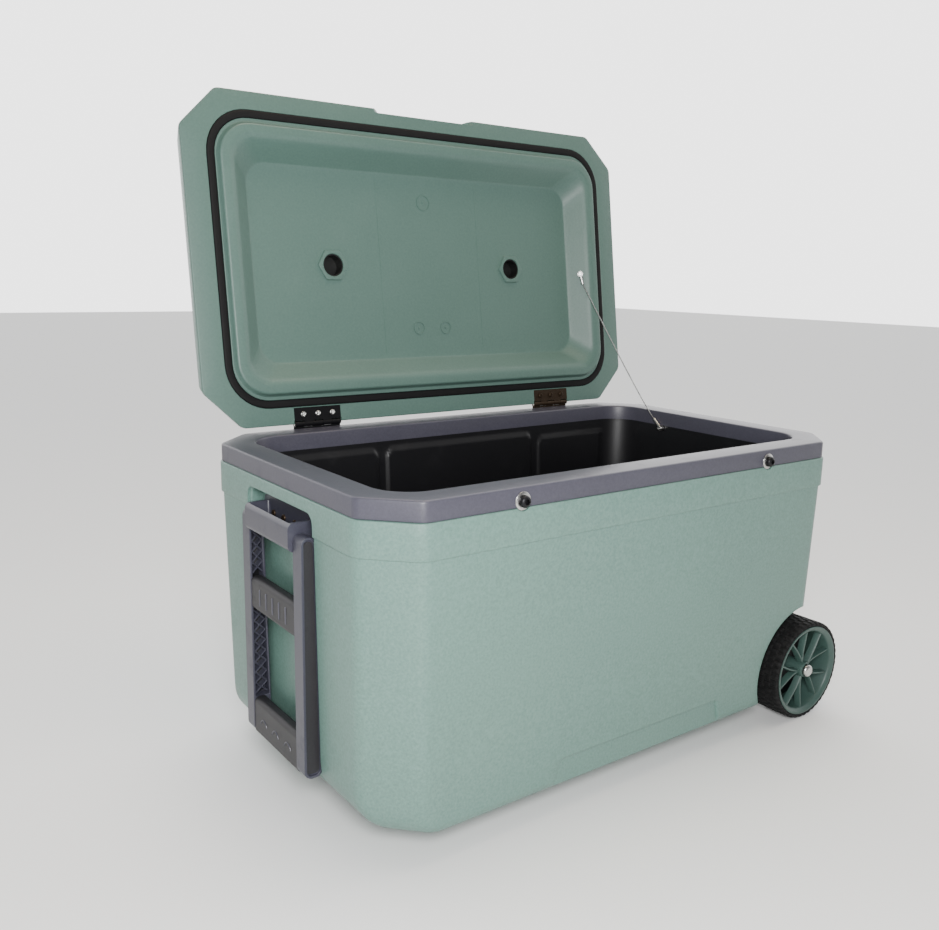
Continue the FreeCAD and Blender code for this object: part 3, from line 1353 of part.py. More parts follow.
for name in NODES:
    shape = doc.getObjectsByLabel(name)[0].Shape
    if shape.isNull() or not shape.isValid() or not shape.Solids:
        raise RuntimeError(f"{name} has no valid solid")
    ready.append((name, shape))
whole = FreeCAD.BoundBox()
for name, shape in ready:
    whole.add(shape.optimalBoundingBox(False))
away = FreeCAD.Vector(-round(whole.Center.x, 1), -round(whole.Center.y, 1), 0)
print(f"every piece moved by x {away.x:.1f} mm, y {away.y:.1f} mm")
for name, shape in ready:
    moved = shape.copy()
    moved.translate(away)
    moved.exportStep(f"parts/{name}.step")
print(f"{len(ready)} parts written")
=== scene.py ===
import json
import math
import bmesh
import bpy
import numpy as np
from mathutils import Matrix, Vector


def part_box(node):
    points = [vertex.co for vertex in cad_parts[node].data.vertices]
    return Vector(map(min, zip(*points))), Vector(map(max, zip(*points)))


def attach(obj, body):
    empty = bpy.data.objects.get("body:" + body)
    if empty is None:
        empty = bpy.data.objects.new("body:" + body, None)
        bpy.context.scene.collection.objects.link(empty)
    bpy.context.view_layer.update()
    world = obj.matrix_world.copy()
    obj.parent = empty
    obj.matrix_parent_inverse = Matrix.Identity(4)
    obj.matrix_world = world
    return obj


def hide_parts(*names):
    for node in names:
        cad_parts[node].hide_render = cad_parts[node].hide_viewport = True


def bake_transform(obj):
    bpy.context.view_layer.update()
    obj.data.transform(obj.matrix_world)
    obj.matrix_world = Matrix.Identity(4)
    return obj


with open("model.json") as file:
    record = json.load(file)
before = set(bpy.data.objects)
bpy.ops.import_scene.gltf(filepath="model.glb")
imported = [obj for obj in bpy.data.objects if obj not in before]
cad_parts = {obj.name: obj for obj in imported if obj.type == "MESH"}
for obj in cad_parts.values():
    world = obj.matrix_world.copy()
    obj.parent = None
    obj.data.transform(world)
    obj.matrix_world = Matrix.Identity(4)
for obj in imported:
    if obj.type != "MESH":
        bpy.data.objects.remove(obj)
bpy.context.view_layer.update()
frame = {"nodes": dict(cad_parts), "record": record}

# A wheeled ice chest with its lid open. Metres, +Z up, the wheels at +X, the front at -Y.
# Everything is worked out about the middle of the box, and newPiece moves it to where the box stands.
mm = 0.001
rimSpan = np.array(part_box("rim_collar"))
boxMiddle = np.array([rimSpan[:, 0].mean(), rimSpan[:, 1].mean(), 0.0])
rimLow, rimHigh = rimSpan - boxMiddle
shellLow, shellHigh = np.array(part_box("outer_shell")) - boxMiddle
tyreLow, tyreHigh = np.array(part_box("tyre_front")) - boxMiddle
halfLong, halfDeep = rimHigh[0], rimHigh[1]
rimBottom, rimTop = rimLow[2], rimHigh[2]
lidJoint = next(j for j in frame["record"]["behaviour"]["joints"] if j["name"] == "lid_hinge")
print("frame loaded")

# Camera.

cameraSetup = {"place": (-0.798, -0.935, 0.609), "yaw": 36.36, "pitch": 11.62, "roll": 1.16, "lens": 35.95}


def makeCamera(setup):
    yaw, pitch, roll = (math.radians(setup[k]) for k in ("yaw", "pitch", "roll"))
    ahead = np.array((math.sin(yaw) * math.cos(pitch), math.cos(yaw) * math.cos(pitch), -math.sin(pitch)))
    level = np.array((math.cos(yaw), -math.sin(yaw), 0.0))
    up = np.cross(level, ahead)
    right = math.cos(roll) * level + math.sin(roll) * up
    top = math.cos(roll) * up - math.sin(roll) * level
    turn = Matrix([(right[i], top[i], -ahead[i]) for i in range(3)])
    camera = bpy.data.objects.new("camera", bpy.data.cameras.new("camera"))
    camera.matrix_world = Matrix.Translation(boxMiddle + setup["place"]) @ turn.to_4x4()
    camera.data.lens = setup["lens"]
    bpy.context.collection.objects.link(camera)
    bpy.context.scene.camera = camera


makeCamera(cameraSetup)

# Mesh helpers.


def newPiece(name, points, faces, away=boxMiddle):
    mesh = bpy.data.meshes.new(name)
    mesh.from_pydata((np.asarray(points).reshape(-1, 3) + away).tolist(), [], faces)
    piece = bpy.data.objects.new(name, mesh)
    bpy.context.collection.objects.link(piece)
    return piece


# Merges doubles, turns the faces outwards, and shades smooth except over sharp edges.
def settleMesh(piece, sharp=33):
    work = bmesh.new()
    work.from_mesh(piece.data)
    bmesh.ops.remove_doubles(work, verts=work.verts, dist=2e-6)
    bmesh.ops.recalc_face_normals(work, faces=work.faces)
    work.to_mesh(piece.data)
    work.free()
    piece.data.shade_smooth()
    piece.data.set_sharp_from_angle(angle=math.radians(sharp))
    return piece


# A surface through a stack of loops: point (i, j) is the j-th point of the i-th loop, joined to its
# neighbours by quads. The ends are closed by flat faces, or the last loop joins the first in a ring.
def skin(name, loops, ring=False, sharp=33):
    grid = np.array(loops)
    rows, columns = grid.shape[:2]
    index = np.arange(rows * columns).reshape(rows, columns)
    low = index if ring else index[:-1]
    high = np.roll(index, -1, axis=0) if ring else index[1:]
    quads = np.stack([low, np.roll(low, -1, 1), np.roll(high, -1, 1), high], -1).reshape(-1, 4).tolist()
    if not ring:
        quads += [index[0][::-1].tolist(), index[-1].tolist()]
    return settleMesh(newPiece(name, grid, quads), sharp)


# A closed outline in a plane: each corner is an arc tangent to both its sides, whose centre lies on the
# corner's bisector at radius / sin(half the corner's angle). Steps divide each arc and each side.
def roundedOutline(corners, radius, arcSteps=6, sideSteps=4):
    spots = np.array(corners, float)
    count = len(spots)
    radius = np.maximum(np.broadcast_to(radius, count), 1e-5)[:, None]
    sideSteps = np.broadcast_to(sideSteps, count)
    ahead = np.roll(spots, -1, 0) - spots
    back = np.roll(spots, 1, 0) - spots
    ahead = ahead / np.linalg.norm(ahead, axis=1)[:, None]
    back = back / np.linalg.norm(back, axis=1)[:, None]
    half = np.arccos(np.clip((ahead * back).sum(1), -1, 1))[:, None] / 2
    leg = radius / np.tan(half)
    middle = ahead + back
    centre = spots + middle / np.linalg.norm(middle, axis=1)[:, None] * radius / np.sin(half)
    first, last = spots + back * leg, spots + ahead * leg
    turn = math.pi - 2 * half
    share = np.linspace(0, 1, arcSteps)[None, :, None]
    arcs = (
        np.sin((1 - share) * turn[:, None]) * (first - centre)[:, None]
        + np.sin(share * turn[:, None]) * (last - centre)[:, None]
    ) / np.sin(turn)[:, None] + centre[:, None]
    run = []
    for i in range(count):
        share = np.arange(1, sideSteps[i] + 1)[:, None] / (sideSteps[i] + 1)
        run += [arcs[i], last[i] * (1 - share) + first[(i + 1) % count] * share]
    return np.concatenate(run)


# An oblong with cut corners; cutLow, where it is given, is the cut at the x0 end. A cut of 0.5858 times
# the radius makes plain rounded corners. No radius is larger than its cut has room for.
def octagonLoop(
    x0, x1, y0, y1, cut, radius, z, arcSteps=6, sideSteps=(3, 14, 3, 20, 3, 14, 3, 20), cutLow=None
):
    cutLow = cut if cutLow is None else cutLow
    corners = [
        (x1 - cut, y0),
        (x1, y0 + cut),
        (x1, y1 - cut),
        (x1 - cut, y1),
        (x0 + cutLow, y1),
        (x0, y1 - cutLow),
        (x0, y0 + cutLow),
        (x0 + cutLow, y0),
    ]
    radii = np.minimum(radius, 1.7071 * np.repeat([cut, cutLow], 4))
    flat = roundedOutline(corners, radii, arcSteps, sideSteps)
    return np.column_stack([flat, np.full(len(flat), z)])


cutPerRound = 2 - math.sqrt(2)


def evenLoop(long, deep, cut, radius, z, **steps):
    return octagonLoop(-long, long, -deep, deep, cut, radius, z, **steps)


def roundLoop(long, deep, radius, z, **steps):
    return evenLoop(long, deep, cutPerRound * radius, radius, z, **steps)


# A quarter turn between two directions: offsets (outward, upward) of an edge rounded by a radius.
def quarter(radius, steps=5):
    angle = np.linspace(0, math.pi / 2, steps)
    return [(radius * (1 - math.cos(a)), radius * math.sin(a)) for a in angle]


# A circle about a line along Y. Its radius is one number, or a number for each step.
def wheelLoop(y, radius, centre, steps):
    angle = np.linspace(0, 2 * math.pi, steps, endpoint=False)
    x, z = centre[0] + radius * np.cos(angle), centre[1] + radius * np.sin(angle)
    return np.column_stack([x, np.full(steps, y), z])


# Circles about a line along Y: profile holds (y, radius), and side mirrors y.
def latheLoops(profile, centre, side, steps=96):
    return [wheelLoop(side * y, radius, centre, steps) for y, radius in profile]


# Applies exact booleans, one cutter at a time, and removes the cutters.
def carve(piece, cutters, how="DIFFERENCE", sharp=33):
    for cutter in cutters:
        step = piece.modifiers.new("carve", "BOOLEAN")
        step.operation = how
        step.solver = "EXACT"
        step.object = cutter
        graph = bpy.context.evaluated_depsgraph_get()
        made = bpy.data.meshes.new_from_object(piece.evaluated_get(graph))
        piece.modifiers.clear()
        piece.data = made
        bpy.data.objects.remove(cutter)
    return settleMesh(piece, sharp)


# One piece from several meshes.
def join(name, pieces):
    points, faces, base = [], [], 0
    for piece in pieces:
        count = len(piece.data.vertices)
        spots = np.empty(count * 3)
        piece.data.vertices.foreach_get("co", spots)
        points.append(spots.reshape(-1, 3))
        faces += [[v + base for v in face.vertices] for face in piece.data.polygons]
        base += count
        bpy.data.objects.remove(piece)
    return newPiece(name, np.concatenate(points), faces, away=0.0)


# A copy of a CAD node with its doubles merged, its flat faces whole and its edges rounded.
def softCopy(name, node, width, segments=2, sharp=30):
    piece = bpy.data.objects.new(name, frame["nodes"][node].data.copy())
    bpy.context.collection.objects.link(piece)
    work = bmesh.new()
    work.from_mesh(piece.data)
    bmesh.ops.remove_doubles(work, verts=work.verts, dist=1e-5)
    bmesh.ops.dissolve_limit(work, angle_limit=math.radians(0.6), verts=work.verts, edges=work.edges)
    work.to_mesh(piece.data)
    work.free()
    piece.data.shade_smooth()
    piece.data.set_sharp_from_angle(angle=math.radians(sharp))
    edge = piece.modifiers.new("edges", "BEVEL")
    edge.width = width
    edge.segments = segments
    edge.limit_method = "ANGLE"
    edge.angle_limit = math.radians(sharp)
    edge.harden_normals = True
    return piece


# Puts a finished piece on its body, in place of the CAD nodes that it stands for.
def mount(piece, body, material, nodes=()):
    piece.data.materials.clear()
    piece.data.materials.append(material)
    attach(piece, body)
    if nodes:
        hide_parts(*nodes)
    return piece


hingeLine = np.array(lidJoint["pos_m"]) - boxMiddle
lidAngle = math.radians(lidJoint["range_deg"][1])


# Turns points of the shut lid about its hinge line to where it stands open.
def opened(loops):
    x, y, z = np.moveaxis(np.array(loops) - hingeLine, -1, 0)
    c, s = math.cos(-lidAngle), math.sin(-lidAngle)
    return np.stack([x, c * y - s * z, s * y + c * z], -1) + hingeLine


# Materials.


# An sRGB hex colour as linear light.
def linear(text):
    parts = [int(text[i : i + 2], 16) / 255 for i in (1, 3, 5)]
    return tuple(p / 12.92 if p <= 0.04045 else ((p + 0.055) / 1.055) ** 2.4 for p in parts) + (1.0,)


def addNode(tree, kind, inputs, **settings):
    node = tree.nodes.new(kind)
    for key, value in settings.items():
        setattr(node, key, value)
    for key, value in inputs.items():
        if isinstance(value, bpy.types.NodeSocket):
            tree.links.new(value, node.inputs[key])
        else:
            node.inputs[key].default_value = value
    return node


def newMaterial(name):
    material = bpy.data.materials.new(name)
    material.use_nodes = True
    material.node_tree.nodes.clear()
    return material, material.node_tree


def objectPlace(tree):
    return addNode(tree, "ShaderNodeTexCoord", {}).outputs["Object"]


def noise(tree, place, size, detail, rough=0.5):
    inputs = {"Vector": place, "Scale": 1 / size, "Detail": detail, "Roughness": rough}
    return addNode(tree, "ShaderNodeTexNoise", inputs).outputs["Fac"]


# Spreads what a value does between start and end over low to high.
def ranged(tree, value, low, high, start=0.0, end=1.0):
    inputs = {"Value": value, "From Min": start, "From Max": end, "To Min": low, "To Max": high}
    return addNode(tree, "ShaderNodeMapRange", inputs).outputs["Result"]


def mixed(tree, share, first, second):
    return addNode(tree, "ShaderNodeMix", {0: share, 6: first, 7: second}, data_type="RGBA").outputs[2]


def bumped(tree, height, strength, distance):
    inputs = {"Height": height, "Strength": strength, "Distance": distance}
    return addNode(tree, "ShaderNodeBump", inputs).outputs["Normal"]


def finishMaterial(tree, inputs):
    shader = addNode(tree, "ShaderNodeBsdfPrincipled", inputs)
    addNode(tree, "ShaderNodeOutputMaterial", {"Surface": shader.outputs["BSDF"]})


# Moulded polyethylene and polypropylene: an even colour that drifts a little over the part, a fine
# orange-peel skin from the mould, and a few duller rubbed patches.
def mouldedPlastic(name, look):
    material, tree = newMaterial(name)
    place = objectPlace(tree)
    first, second, fleck = (linear(colour) for colour in look["colours"])
    drift = noise(tree, place, look["driftMm"] * mm, 3.0)
    peel = noise(tree, place, look["peelMm"] * mm, 4.0, 0.6)
    rubbed = ranged(tree, noise(tree, place, look["rubMm"] * mm, 8.0, 0.7), 0.0, 1.0, 0.56, 0.72)
    speckle = ranged(tree, peel, 0.0, look["speckle"], 0.3, 0.7)
    inputs = {
        "Base Color": mixed(tree, speckle, mixed(tree, drift, first, second), fleck),
        "Roughness": ranged(tree, rubbed, look["rough"], look["rough"] + 0.14),
        "IOR": 1.5,
        "Normal": bumped(tree, peel, look["bump"], look["peelMm"] * mm * 0.12),
    }
    finishMaterial(tree, inputs)
    return material


# Metal parts: turned or rolled, so fine lines run one way and the gloss varies along them.
def workedMetal(name, look):
    material, tree = newMaterial(name)
    drawn = addNode(tree, "ShaderNodeMapping", {"Vector": objectPlace(tree), "Scale": look["stretch"]})
    lines = noise(tree, drawn.outputs["Vector"], look["lineMm"] * mm, 3.0)
    inputs = {
        "Base Color": mixed(tree, lines, *map(linear, look["colours"])),
        "Roughness": ranged(tree, lines, *look["rough"]),
        "Metallic": look["metallic"],
        "Normal": bumped(tree, lines, 0.15, 0.0001),
    }
    finishMaterial(tree, inputs)
    return material


# Rubber and foam: matt and grainy, with pale dust or open cells in patches.
def grainyMatter(name, look):
    material, tree = newMaterial(name)
    place = objectPlace(tree)
    grain = addNode(tree, "ShaderNodeTexVoronoi", {"Vector": place, "Scale": 1 / (look["grainMm"] * mm)})
    dust = noise(tree, place, look["dustMm"] * mm, 5.0)
    spread = ranged(tree, dust, 0.0, look["dust"], 0.45, 0.75)
    inputs = {
        "Base Color": mixed(tree, spread, *map(linear, look["colours"])),
        "Roughness": ranged(tree, dust, look["rough"] - 0.08, look["rough"] + 0.08),
        "IOR": 1.36,
        "Normal": bumped(tree, grain.outputs["Distance"], look["bump"], look["grainMm"] * mm * 0.3),
    }
    finishMaterial(tree, inputs)
    return material


# Each finish has its full name and then the values of its columns, in order.
plasticColumns = ("colours", "driftMm", "peelMm", "rubMm", "speckle", "rough", "bump")
plasticLooks = {
    # the peel is drawn at 3 mm, twice its real size, so that it shows
    "sagePolyethylene": (
        "rotomoulded sage polyethylene", ("#527068", "#59786e", "#739289"), 160, 3, 60, 0.5, 0.42, 0.5
    ),
    # the lid's lining is the sage drawn darker: painted shade on the lid's inside
    "liningPolyethylene": (
        "rotomoulded sage lining polyethylene",
        ("#4a645c", "#506a62", "#5f7a71"), 140, 3, 70, 0.35, 0.45, 0.35
    ),
    "collarNylon": (
        "moulded plum-grey collar nylon", ("#3a3943", "#403f4a", "#504f5b"), 120, 2.5, 40, 0.35, 0.4, 0.3
    ),
    "handleNylon": (
        "moulded plum-grey handle nylon", ("#32323d", "#383843", "#474753"), 90, 2, 30, 0.3, 0.38, 0.25
    ),
    # the liner's own black; the dark disc in each wheel and the plate behind each arm's lattice take it too,
    # as painted shade
    "blackPolyethylene": (
        "rotomoulded black polyethylene", ("#0c0c0e", "#101013", "#18181b"), 120, 3, 50, 0.3, 0.38, 0.3
    ),
    "bushNylon": ("turned natural nylon", ("#d8d5c8", "#dedbd0", "#e8e6de"), 20, 1, 12, 0.2, 0.4, 0.15),
    "wheelNylon": ("moulded sage wheel nylon", ("#2f4540", "#354c46", "#435a54"), 60, 2, 25, 0.3, 0.45, 0.3),
    # the grips and the plates in the arms' side channels are drawn a darker grey than the arms
    "darkGripGrey": (
        "overmoulded dark grip elastomer", ("#1d1c1f", "#222124", "#2e2d31"), 50, 1.5, 20, 0.3, 0.55, 0.35
    ),
    # the port cups are drawn near black: painted shade in their deep bores
    "portShade": ("moulded dark port cup", ("#0e0f0e", "#131413", "#1a1b1a"), 20, 1.5, 12, 0.2, 0.5, 0.2),
}
metalColumns = ("colours", "stretch", "lineMm", "rough", "metallic")
metalLooks = {
    "stainlessSteel": ("turned stainless steel", ("#a9a9a8", "#c9c8c5"), (1, 1, 8), 3, (0.2, 0.38), 1.0),
    "blackSteel": ("black oxide steel", ("#101012", "#1c1c1f"), (8, 1, 1), 4, (0.35, 0.5), 0.6),
    "bronzeSteel": ("bronzed rolled steel", ("#2e241b", "#453728"), (1, 8, 8), 5, (0.35, 0.5), 0.7),
}
matterColumns = ("colours", "grainMm", "dustMm", "dust", "bump", "rough")
matterLooks = {
    "tyreRubber": ("moulded black tyre rubber", ("#0a0a0b", "#262525"), 1.6, 9, 0.5, 0.6, 0.8),
    "sealRubber": ("extruded black sealing rubber", ("#060607", "#121213"), 1, 15, 0.4, 0.25, 0.72),
    "foam": ("blown polyurethane foam", ("#d9c89a", "#c4b07c"), 2, 12, 0.8, 0.8, 0.85),
}
finishes = {}
for maker, columns, looks in (
    (mouldedPlastic, plasticColumns, plasticLooks),
    (workedMetal, metalColumns, metalLooks),
    (grainyMatter, matterColumns, matterLooks),
):
    for finish, (name, *values) in looks.items():
        finishes[finish] = maker(name, dict(zip(columns, values)))
slotFinish = {
    "body_plastic": "sagePolyethylene",
    "collar_plastic": "collarNylon",
    "handle_plastic": "handleNylon",
    "liner_plastic": "blackPolyethylene",
    "foam": "foam",
    "rubber": "sealRubber",
    "tyre": "tyreRubber",
    "steel": "stainlessSteel",
    "dark_steel": "blackSteel",
    "bronze": "bronzeSteel",
    "bush_nylon": "bushNylon",
}


# Gives a CAD node one of the finishes.
def dress(node, finish):
    slots = frame["nodes"][node].data.materials
    slots.clear()
    slots.append(finishes[finish])


for part in frame["record"]["subparts"]:
    dress(part["node"], slotFinish[part["material_slot"]])
# painted shade: the port cups are drawn near black for the shade in their bores
dress("port_plugs", "portShade")
print("materials made")

# Stay cable: a straight taut wire between its two ferrules, turned down at the tub's eye.

stayCable = {
    "route": [(0.296, 0.242, 0.593), (0.328, 0.118, 0.400), (0.330, 0.097, 0.383)],
    "radius": 0.9 * mm,
    "strands": 6,
    "strandDepth": 0.16 * mm,
    "layLength": 9 * mm,
}


# A tube round a line: each ring lies square to the line, and its radius swells over every strand,
# so that radius = mean + depth * cos(strands * (angle - twist)).
def ropeLoops(line, setup, steps=18):
    line = np.array(line)
    way = np.gradient(line, axis=0)
    way /= np.linalg.norm(way, axis=1)[:, None]
    across = np.cross(way, (1.0, 0.0, 0.0))
    across /= np.linalg.norm(across, axis=1)[:, None]
    third = np.cross(way, across)
    travel = np.concatenate([[0], np.cumsum(np.linalg.norm(np.diff(line, axis=0), axis=1))])
    angle = np.linspace(0, 2 * math.pi, steps, endpoint=False)
    twist = travel[:, None] / setup["layLength"] * 2 * math.pi
    depth = setup["strandDepth"] / 2
    radius = (setup["radius"] - depth) + depth * np.cos(setup["strands"] * (angle[None] - twist))
    return line[:, None] + radius[..., None] * (
        np.cos(angle)[None, :, None] * across[:, None] + np.sin(angle)[None, :, None] * third[:, None]
    )


# Points along the route's NURBS spline.
def splineLine(points, resolution):
    curve = bpy.data.curves.new("route", "CURVE")
    curve.dimensions = "3D"
    spline = curve.splines.new("NURBS")
    spline.points.add(len(points) - 1)
    spline.points.foreach_set("co", np.column_stack([points, np.ones(len(points))]).ravel())
    spline.order_u = 3
    spline.use_endpoint_u = True
    spline.resolution_u = resolution
    carrier = bpy.data.objects.new("route", curve)
    bpy.context.collection.objects.link(carrier)
    graph = bpy.context.evaluated_depsgraph_get()
    mesh = bpy.data.meshes.new_from_object(carrier.evaluated_get(graph))
    line = np.empty(len(mesh.vertices) * 3)
    mesh.vertices.foreach_get("co", line)
    bpy.data.objects.remove(carrier)
    return line.reshape(-1, 3)


cableLine = splineLine(stayCable["route"], 90)
cable = skin("stay_wire", ropeLoops(cableLine, stayCable), sharp=60)
cable.data.materials.append(finishes["stainlessSteel"])
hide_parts("stay_cable")
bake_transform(cable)

# Outer shell of the box.

bodyForm = {
    "cut": 50 * mm,
    "round": 24 * mm,
    "band": 39 * mm,
    "proud": 2 * mm,
    "draft": 5.5 * mm,
    "underRound": 18 * mm,
    "towRound": 50 * mm,
    "wheelRound": 20 * mm,
    "wall": 4 * mm,
    "archGap": 22 * mm,
    "archSide": 6 * mm,
    "lip": 3 * mm,
    "recessHalf": 80 * mm,
    "recessDeep": 16 * mm,
    "recessTop": 39 * mm,
    "recessRound": 10 * mm,
    "studX": 201 * mm,
    "studDrop": 15 * mm,
    "studSeat": 10.6 * mm,
}
bandBottom = rimBottom - bodyForm["band"]
bodyBottom = shellLow[2]


# How far a wall has pulled in at a height over the underside that it rounds into.
def underInset(height, radius):
    return radius - math.sqrt(max(radius**2 - (radius - height) ** 2, 0)) if height < radius else 0.0


def bodyLoops(inset, top, form=bodyForm):
    bottom = bodyBottom + inset
    rise = [form["towRound"] * (1 - math.cos(a)) for a in np.linspace(0, math.pi / 2, 11)]
    rise += [form["underRound"] * (1 - math.cos(a)) for a in np.linspace(0.25, math.pi / 2, 6)]
    rise += list(np.linspace(form["towRound"] + 20 * mm, bandBottom - bottom - 20 * mm, 8))
    rise = sorted(set(round(r, 6) for r in rise)) + [bandBottom - bottom]
    loops = []

    def addLoop(z, out, tow=0.0, wheel=0.0, under=0.0, corners=(0.0, 0.0)):
        long, deep = halfLong + out - inset, halfDeep + out - inset
        cut = form["cut"] - cutPerRound * inset
        # the cut corner pulls in less than the walls beside it, so that it reaches the underside
        ends = ((wheel, corners[1]), (tow, corners[0]))
        cuts = [cut - pull - under + math.sqrt(2) * corner for pull, corner in ends]
        radius = form["round"] - inset / 2
        x0, x1 = -long + tow, long - wheel
        loops.append(octagonLoop(x0, x1, -deep + under, deep - under, cuts[0], radius, z, cutLow=cuts[1]))

    for height in rise:
        out = -form["draft"] * (1 - height / (bandBottom - bottom))
        cornerRounds = [(form["underRound"] + end) / 2 for end in (form["towRound"], form["wheelRound"])]
        addLoop(
            bottom + height,
            out,
            underInset(height, form["towRound"] - inset),
            underInset(height, form["wheelRound"] - inset),
            underInset(height, form["underRound"] - inset),
            [underInset(height, radius - inset) for radius in cornerRounds],
        )
    soft = 1.2 * mm
    for back, up in quarter(soft, 4):
        addLoop(bandBottom + 0.3 * mm + back, form["proud"] - soft + up)
    for back, up in quarter(soft, 4)[::-1]:
        addLoop(top - 0.1 * mm - back, form["proud"] - soft + up)
    return loops


archCentre = ((tyreLow[0] + tyreHigh[0]) / 2, (tyreLow[2] + tyreHigh[2]) / 2)
wheelRadius = (tyreHigh[2] - tyreLow[2]) / 2
archRadius = wheelRadius + bodyForm["archGap"]
archWall = abs(tyreHigh[1]) - bodyForm["archSide"]
draftSlope = bodyForm["draft"] / (bandBottom - bodyBottom)


# A drum with a rounded lip where it leaves the drafted side wall.
def archCutter(side, grow):
    face = halfDeep - draftSlope * (bandBottom - archCentre[1])
    profile = [(archWall - grow, archRadius + grow - 5 * mm)]
    profile += [(archWall - grow + back, archRadius + grow - 5 * mm + up) for back, up in quarter(5 * mm, 5)]
    lip = bodyForm["lip"]
    if grow == 0:
        profile += [(face - lip + up, archRadius + back) for back, up in quarter(lip, 6)]
        profile += [(face + 0.5 * mm, archRadius + lip + 0.5 * mm)]
    profile += [(face + 40 * mm, profile[-1][1])]
    cutter = skin("arch", latheLoops(profile, archCentre, side))
    spots = np.empty(len(cutter.data.vertices) * 3)
    cutter.data.vertices.foreach_get("co", spots)
    spots = spots.reshape(-1, 3)
    spots[:, 1] += side * draftSlope * (spots[:, 2] - archCentre[1])
    cutter.data.vertices.foreach_set("co", spots.ravel())
    return cutter


# An arch-topped slot in the end wall, with a rounded lip.
def recessCutter(grow):
    form = bodyForm
    top = rimTop - form["recessTop"]
    lip = 0 if grow else form["lip"]
    rows = [(-halfLong + form["recessDeep"] + grow, grow)]
    if not grow:
        rows += [(-halfLong + 1.2 * mm + lip - up, back) for back, up in quarter(lip, 6)]
    rows += [(-halfLong - 30 * mm, rows[-1][1])]
    loops = []
    for x, out in rows:
        half = form["recessHalf"] + out
        flat = roundedOutline(
            [(-half, -0.05), (half, -0.05), (half, top + out), (-half, top + out)],
            [0, 0, form["recessRound"] + out, form["recessRound"] + out],
            arcSteps=9,
            sideSteps=8,
        )
        lean = draftSlope * (bandBottom - flat[:, 1]) if lip and x > -halfLong - 20 * mm else 0
        if rows.index((x, out)) == 0:
            lean = 0
        loops.append(np.column_stack([np.full(len(flat), x) + lean, flat]))
    return skin("recess", loops)


# The shallow tapered field in the middle of the front's lower edge.
def panelCutter():
    loops = []
    for depth, grow in ((3.2, 0), (2.6, 0.2), (1.3, 0.8), (0.3, 1.8), (-0.2, 3.4), (-6, 3.6)):
        depth, grow = depth * mm, grow * mm
        corners = [
            (0.158 + grow, 0.0),
            (0.142 + grow, 0.066 + grow),
            (-0.127 - grow, 0.066 + grow),
            (-0.146 - grow, 0.0),
        ]
        flat = roundedOutline(corners, 5 * mm, 6, 6)
        face = halfDeep - draftSlope * (bandBottom - flat[:, 1])
        loops.append(np.column_stack([flat[:, 0], -(face - depth), flat[:, 1]]))
    return skin("field", loops)


def studSeatCutter(side):
    seat = bodyForm["studSeat"]
    rows = [(-0.2 * mm, seat), (1.2 * mm, seat), (3 * mm, seat + 1.5 * mm)]
    profile = [(halfDeep + out, radius) for out, radius in rows]
    centre = (side * bodyForm["studX"], rimTop - bodyForm["studDrop"])
    return skin("seat", latheLoops(profile, centre, -1, 48))


outside = skin("shell_walls", bodyLoops(0, rimBottom))
cutters = [archCutter(-1, 0), archCutter(1, 0), recessCutter(0), panelCutter()]
cutters += [studSeatCutter(-1), studSeatCutter(1)]
carve(outside, cutters)
wall = bodyForm["wall"]
inside = skin("shell_room", bodyLoops(wall, rimBottom + 20 * mm))
carve(inside, [archCutter(-1, wall), archCutter(1, wall), recessCutter(wall)])
carve(outside, [inside])
mount(outside, "box", finishes["sagePolyethylene"], ["outer_shell"])
print("outer shell made")

# Rim collar.

collarForm = {
    "cut": 50 * mm,
    "round": 14 * mm,
    "edge": 2.5 * mm,
    "width": 37 * mm,
    "openingRound": 45 * mm,
}


def collarLoops(form=collarForm):
    edge = form["edge"]
    loops = []

    def edgeLoop(back, z):
        loops.append(evenLoop(halfLong - back, halfDeep - back, form["cut"], form["round"], z))

    for back, up in [(0.6 * mm, -edge), (0, -edge + 0.6 * mm)]:
        edgeLoop(back, rimBottom + edge + up)
    for back, up in quarter(edge):
        edgeLoop(back, rimTop - edge + up)
    long, deep, radius = halfLong - form["width"], halfDeep - form["width"], form["openingRound"]
    for back, up in quarter(edge)[::-1]:
        loops.append(roundLoop(long + back, deep + back, radius, rimTop - edge + up))
    loops.append(roundLoop(long, deep, radius, rimBottom))
    return loops


collar = skin("collar", collarLoops(), ring=True)
mount(collar, "box", finishes["collarNylon"], ["rim_collar"])

# Liner: a rounded tub with raised wall panels and a raised floor at the wheel end.

linerForm = {
    "wall": 3 * mm,
    "draft": 12 * mm,
    "floor": 65 * mm,
    "shelf": 190 * mm,
    "shelfStart": 205 * mm,
    "wellTop": 240 * mm,
    "round": 45 * mm,
    "foot": 10 * mm,
    "panels": ((-300, -136, 31), (-124, 142, 31), (154, 300, 38)),
    "panelDeep": 3 * mm,
    "panelRound": 14 * mm,
    "panelEdge": 2.5 * mm,
}


# A panel's height over the wall is a smooth step of the distance to a rounded oblong.
def panelRelief(x, z, form=linerForm):
    relief = np.zeros_like(x)
    for left, right, drop in form["panels"]:
        high = rimTop - drop * mm
        low = 0.02
        middle, half = (left + right) / 2 * mm, (right - left) / 2 * mm
        across = np.abs(x - middle) - half + form["panelRound"]
        along = np.abs(z - (high + low) / 2) - (high - low) / 2 + form["panelRound"]
        outside = np.hypot(np.maximum(across, 0), np.maximum(along, 0))
        distance = outside + np.minimum(np.maximum(across, along), 0) - form["panelRound"]
        step = np.clip(-distance / form["panelEdge"], 0, 1)
        relief = np.maximum(relief, step * step * (3 - 2 * step))
    return relief * form["panelDeep"]


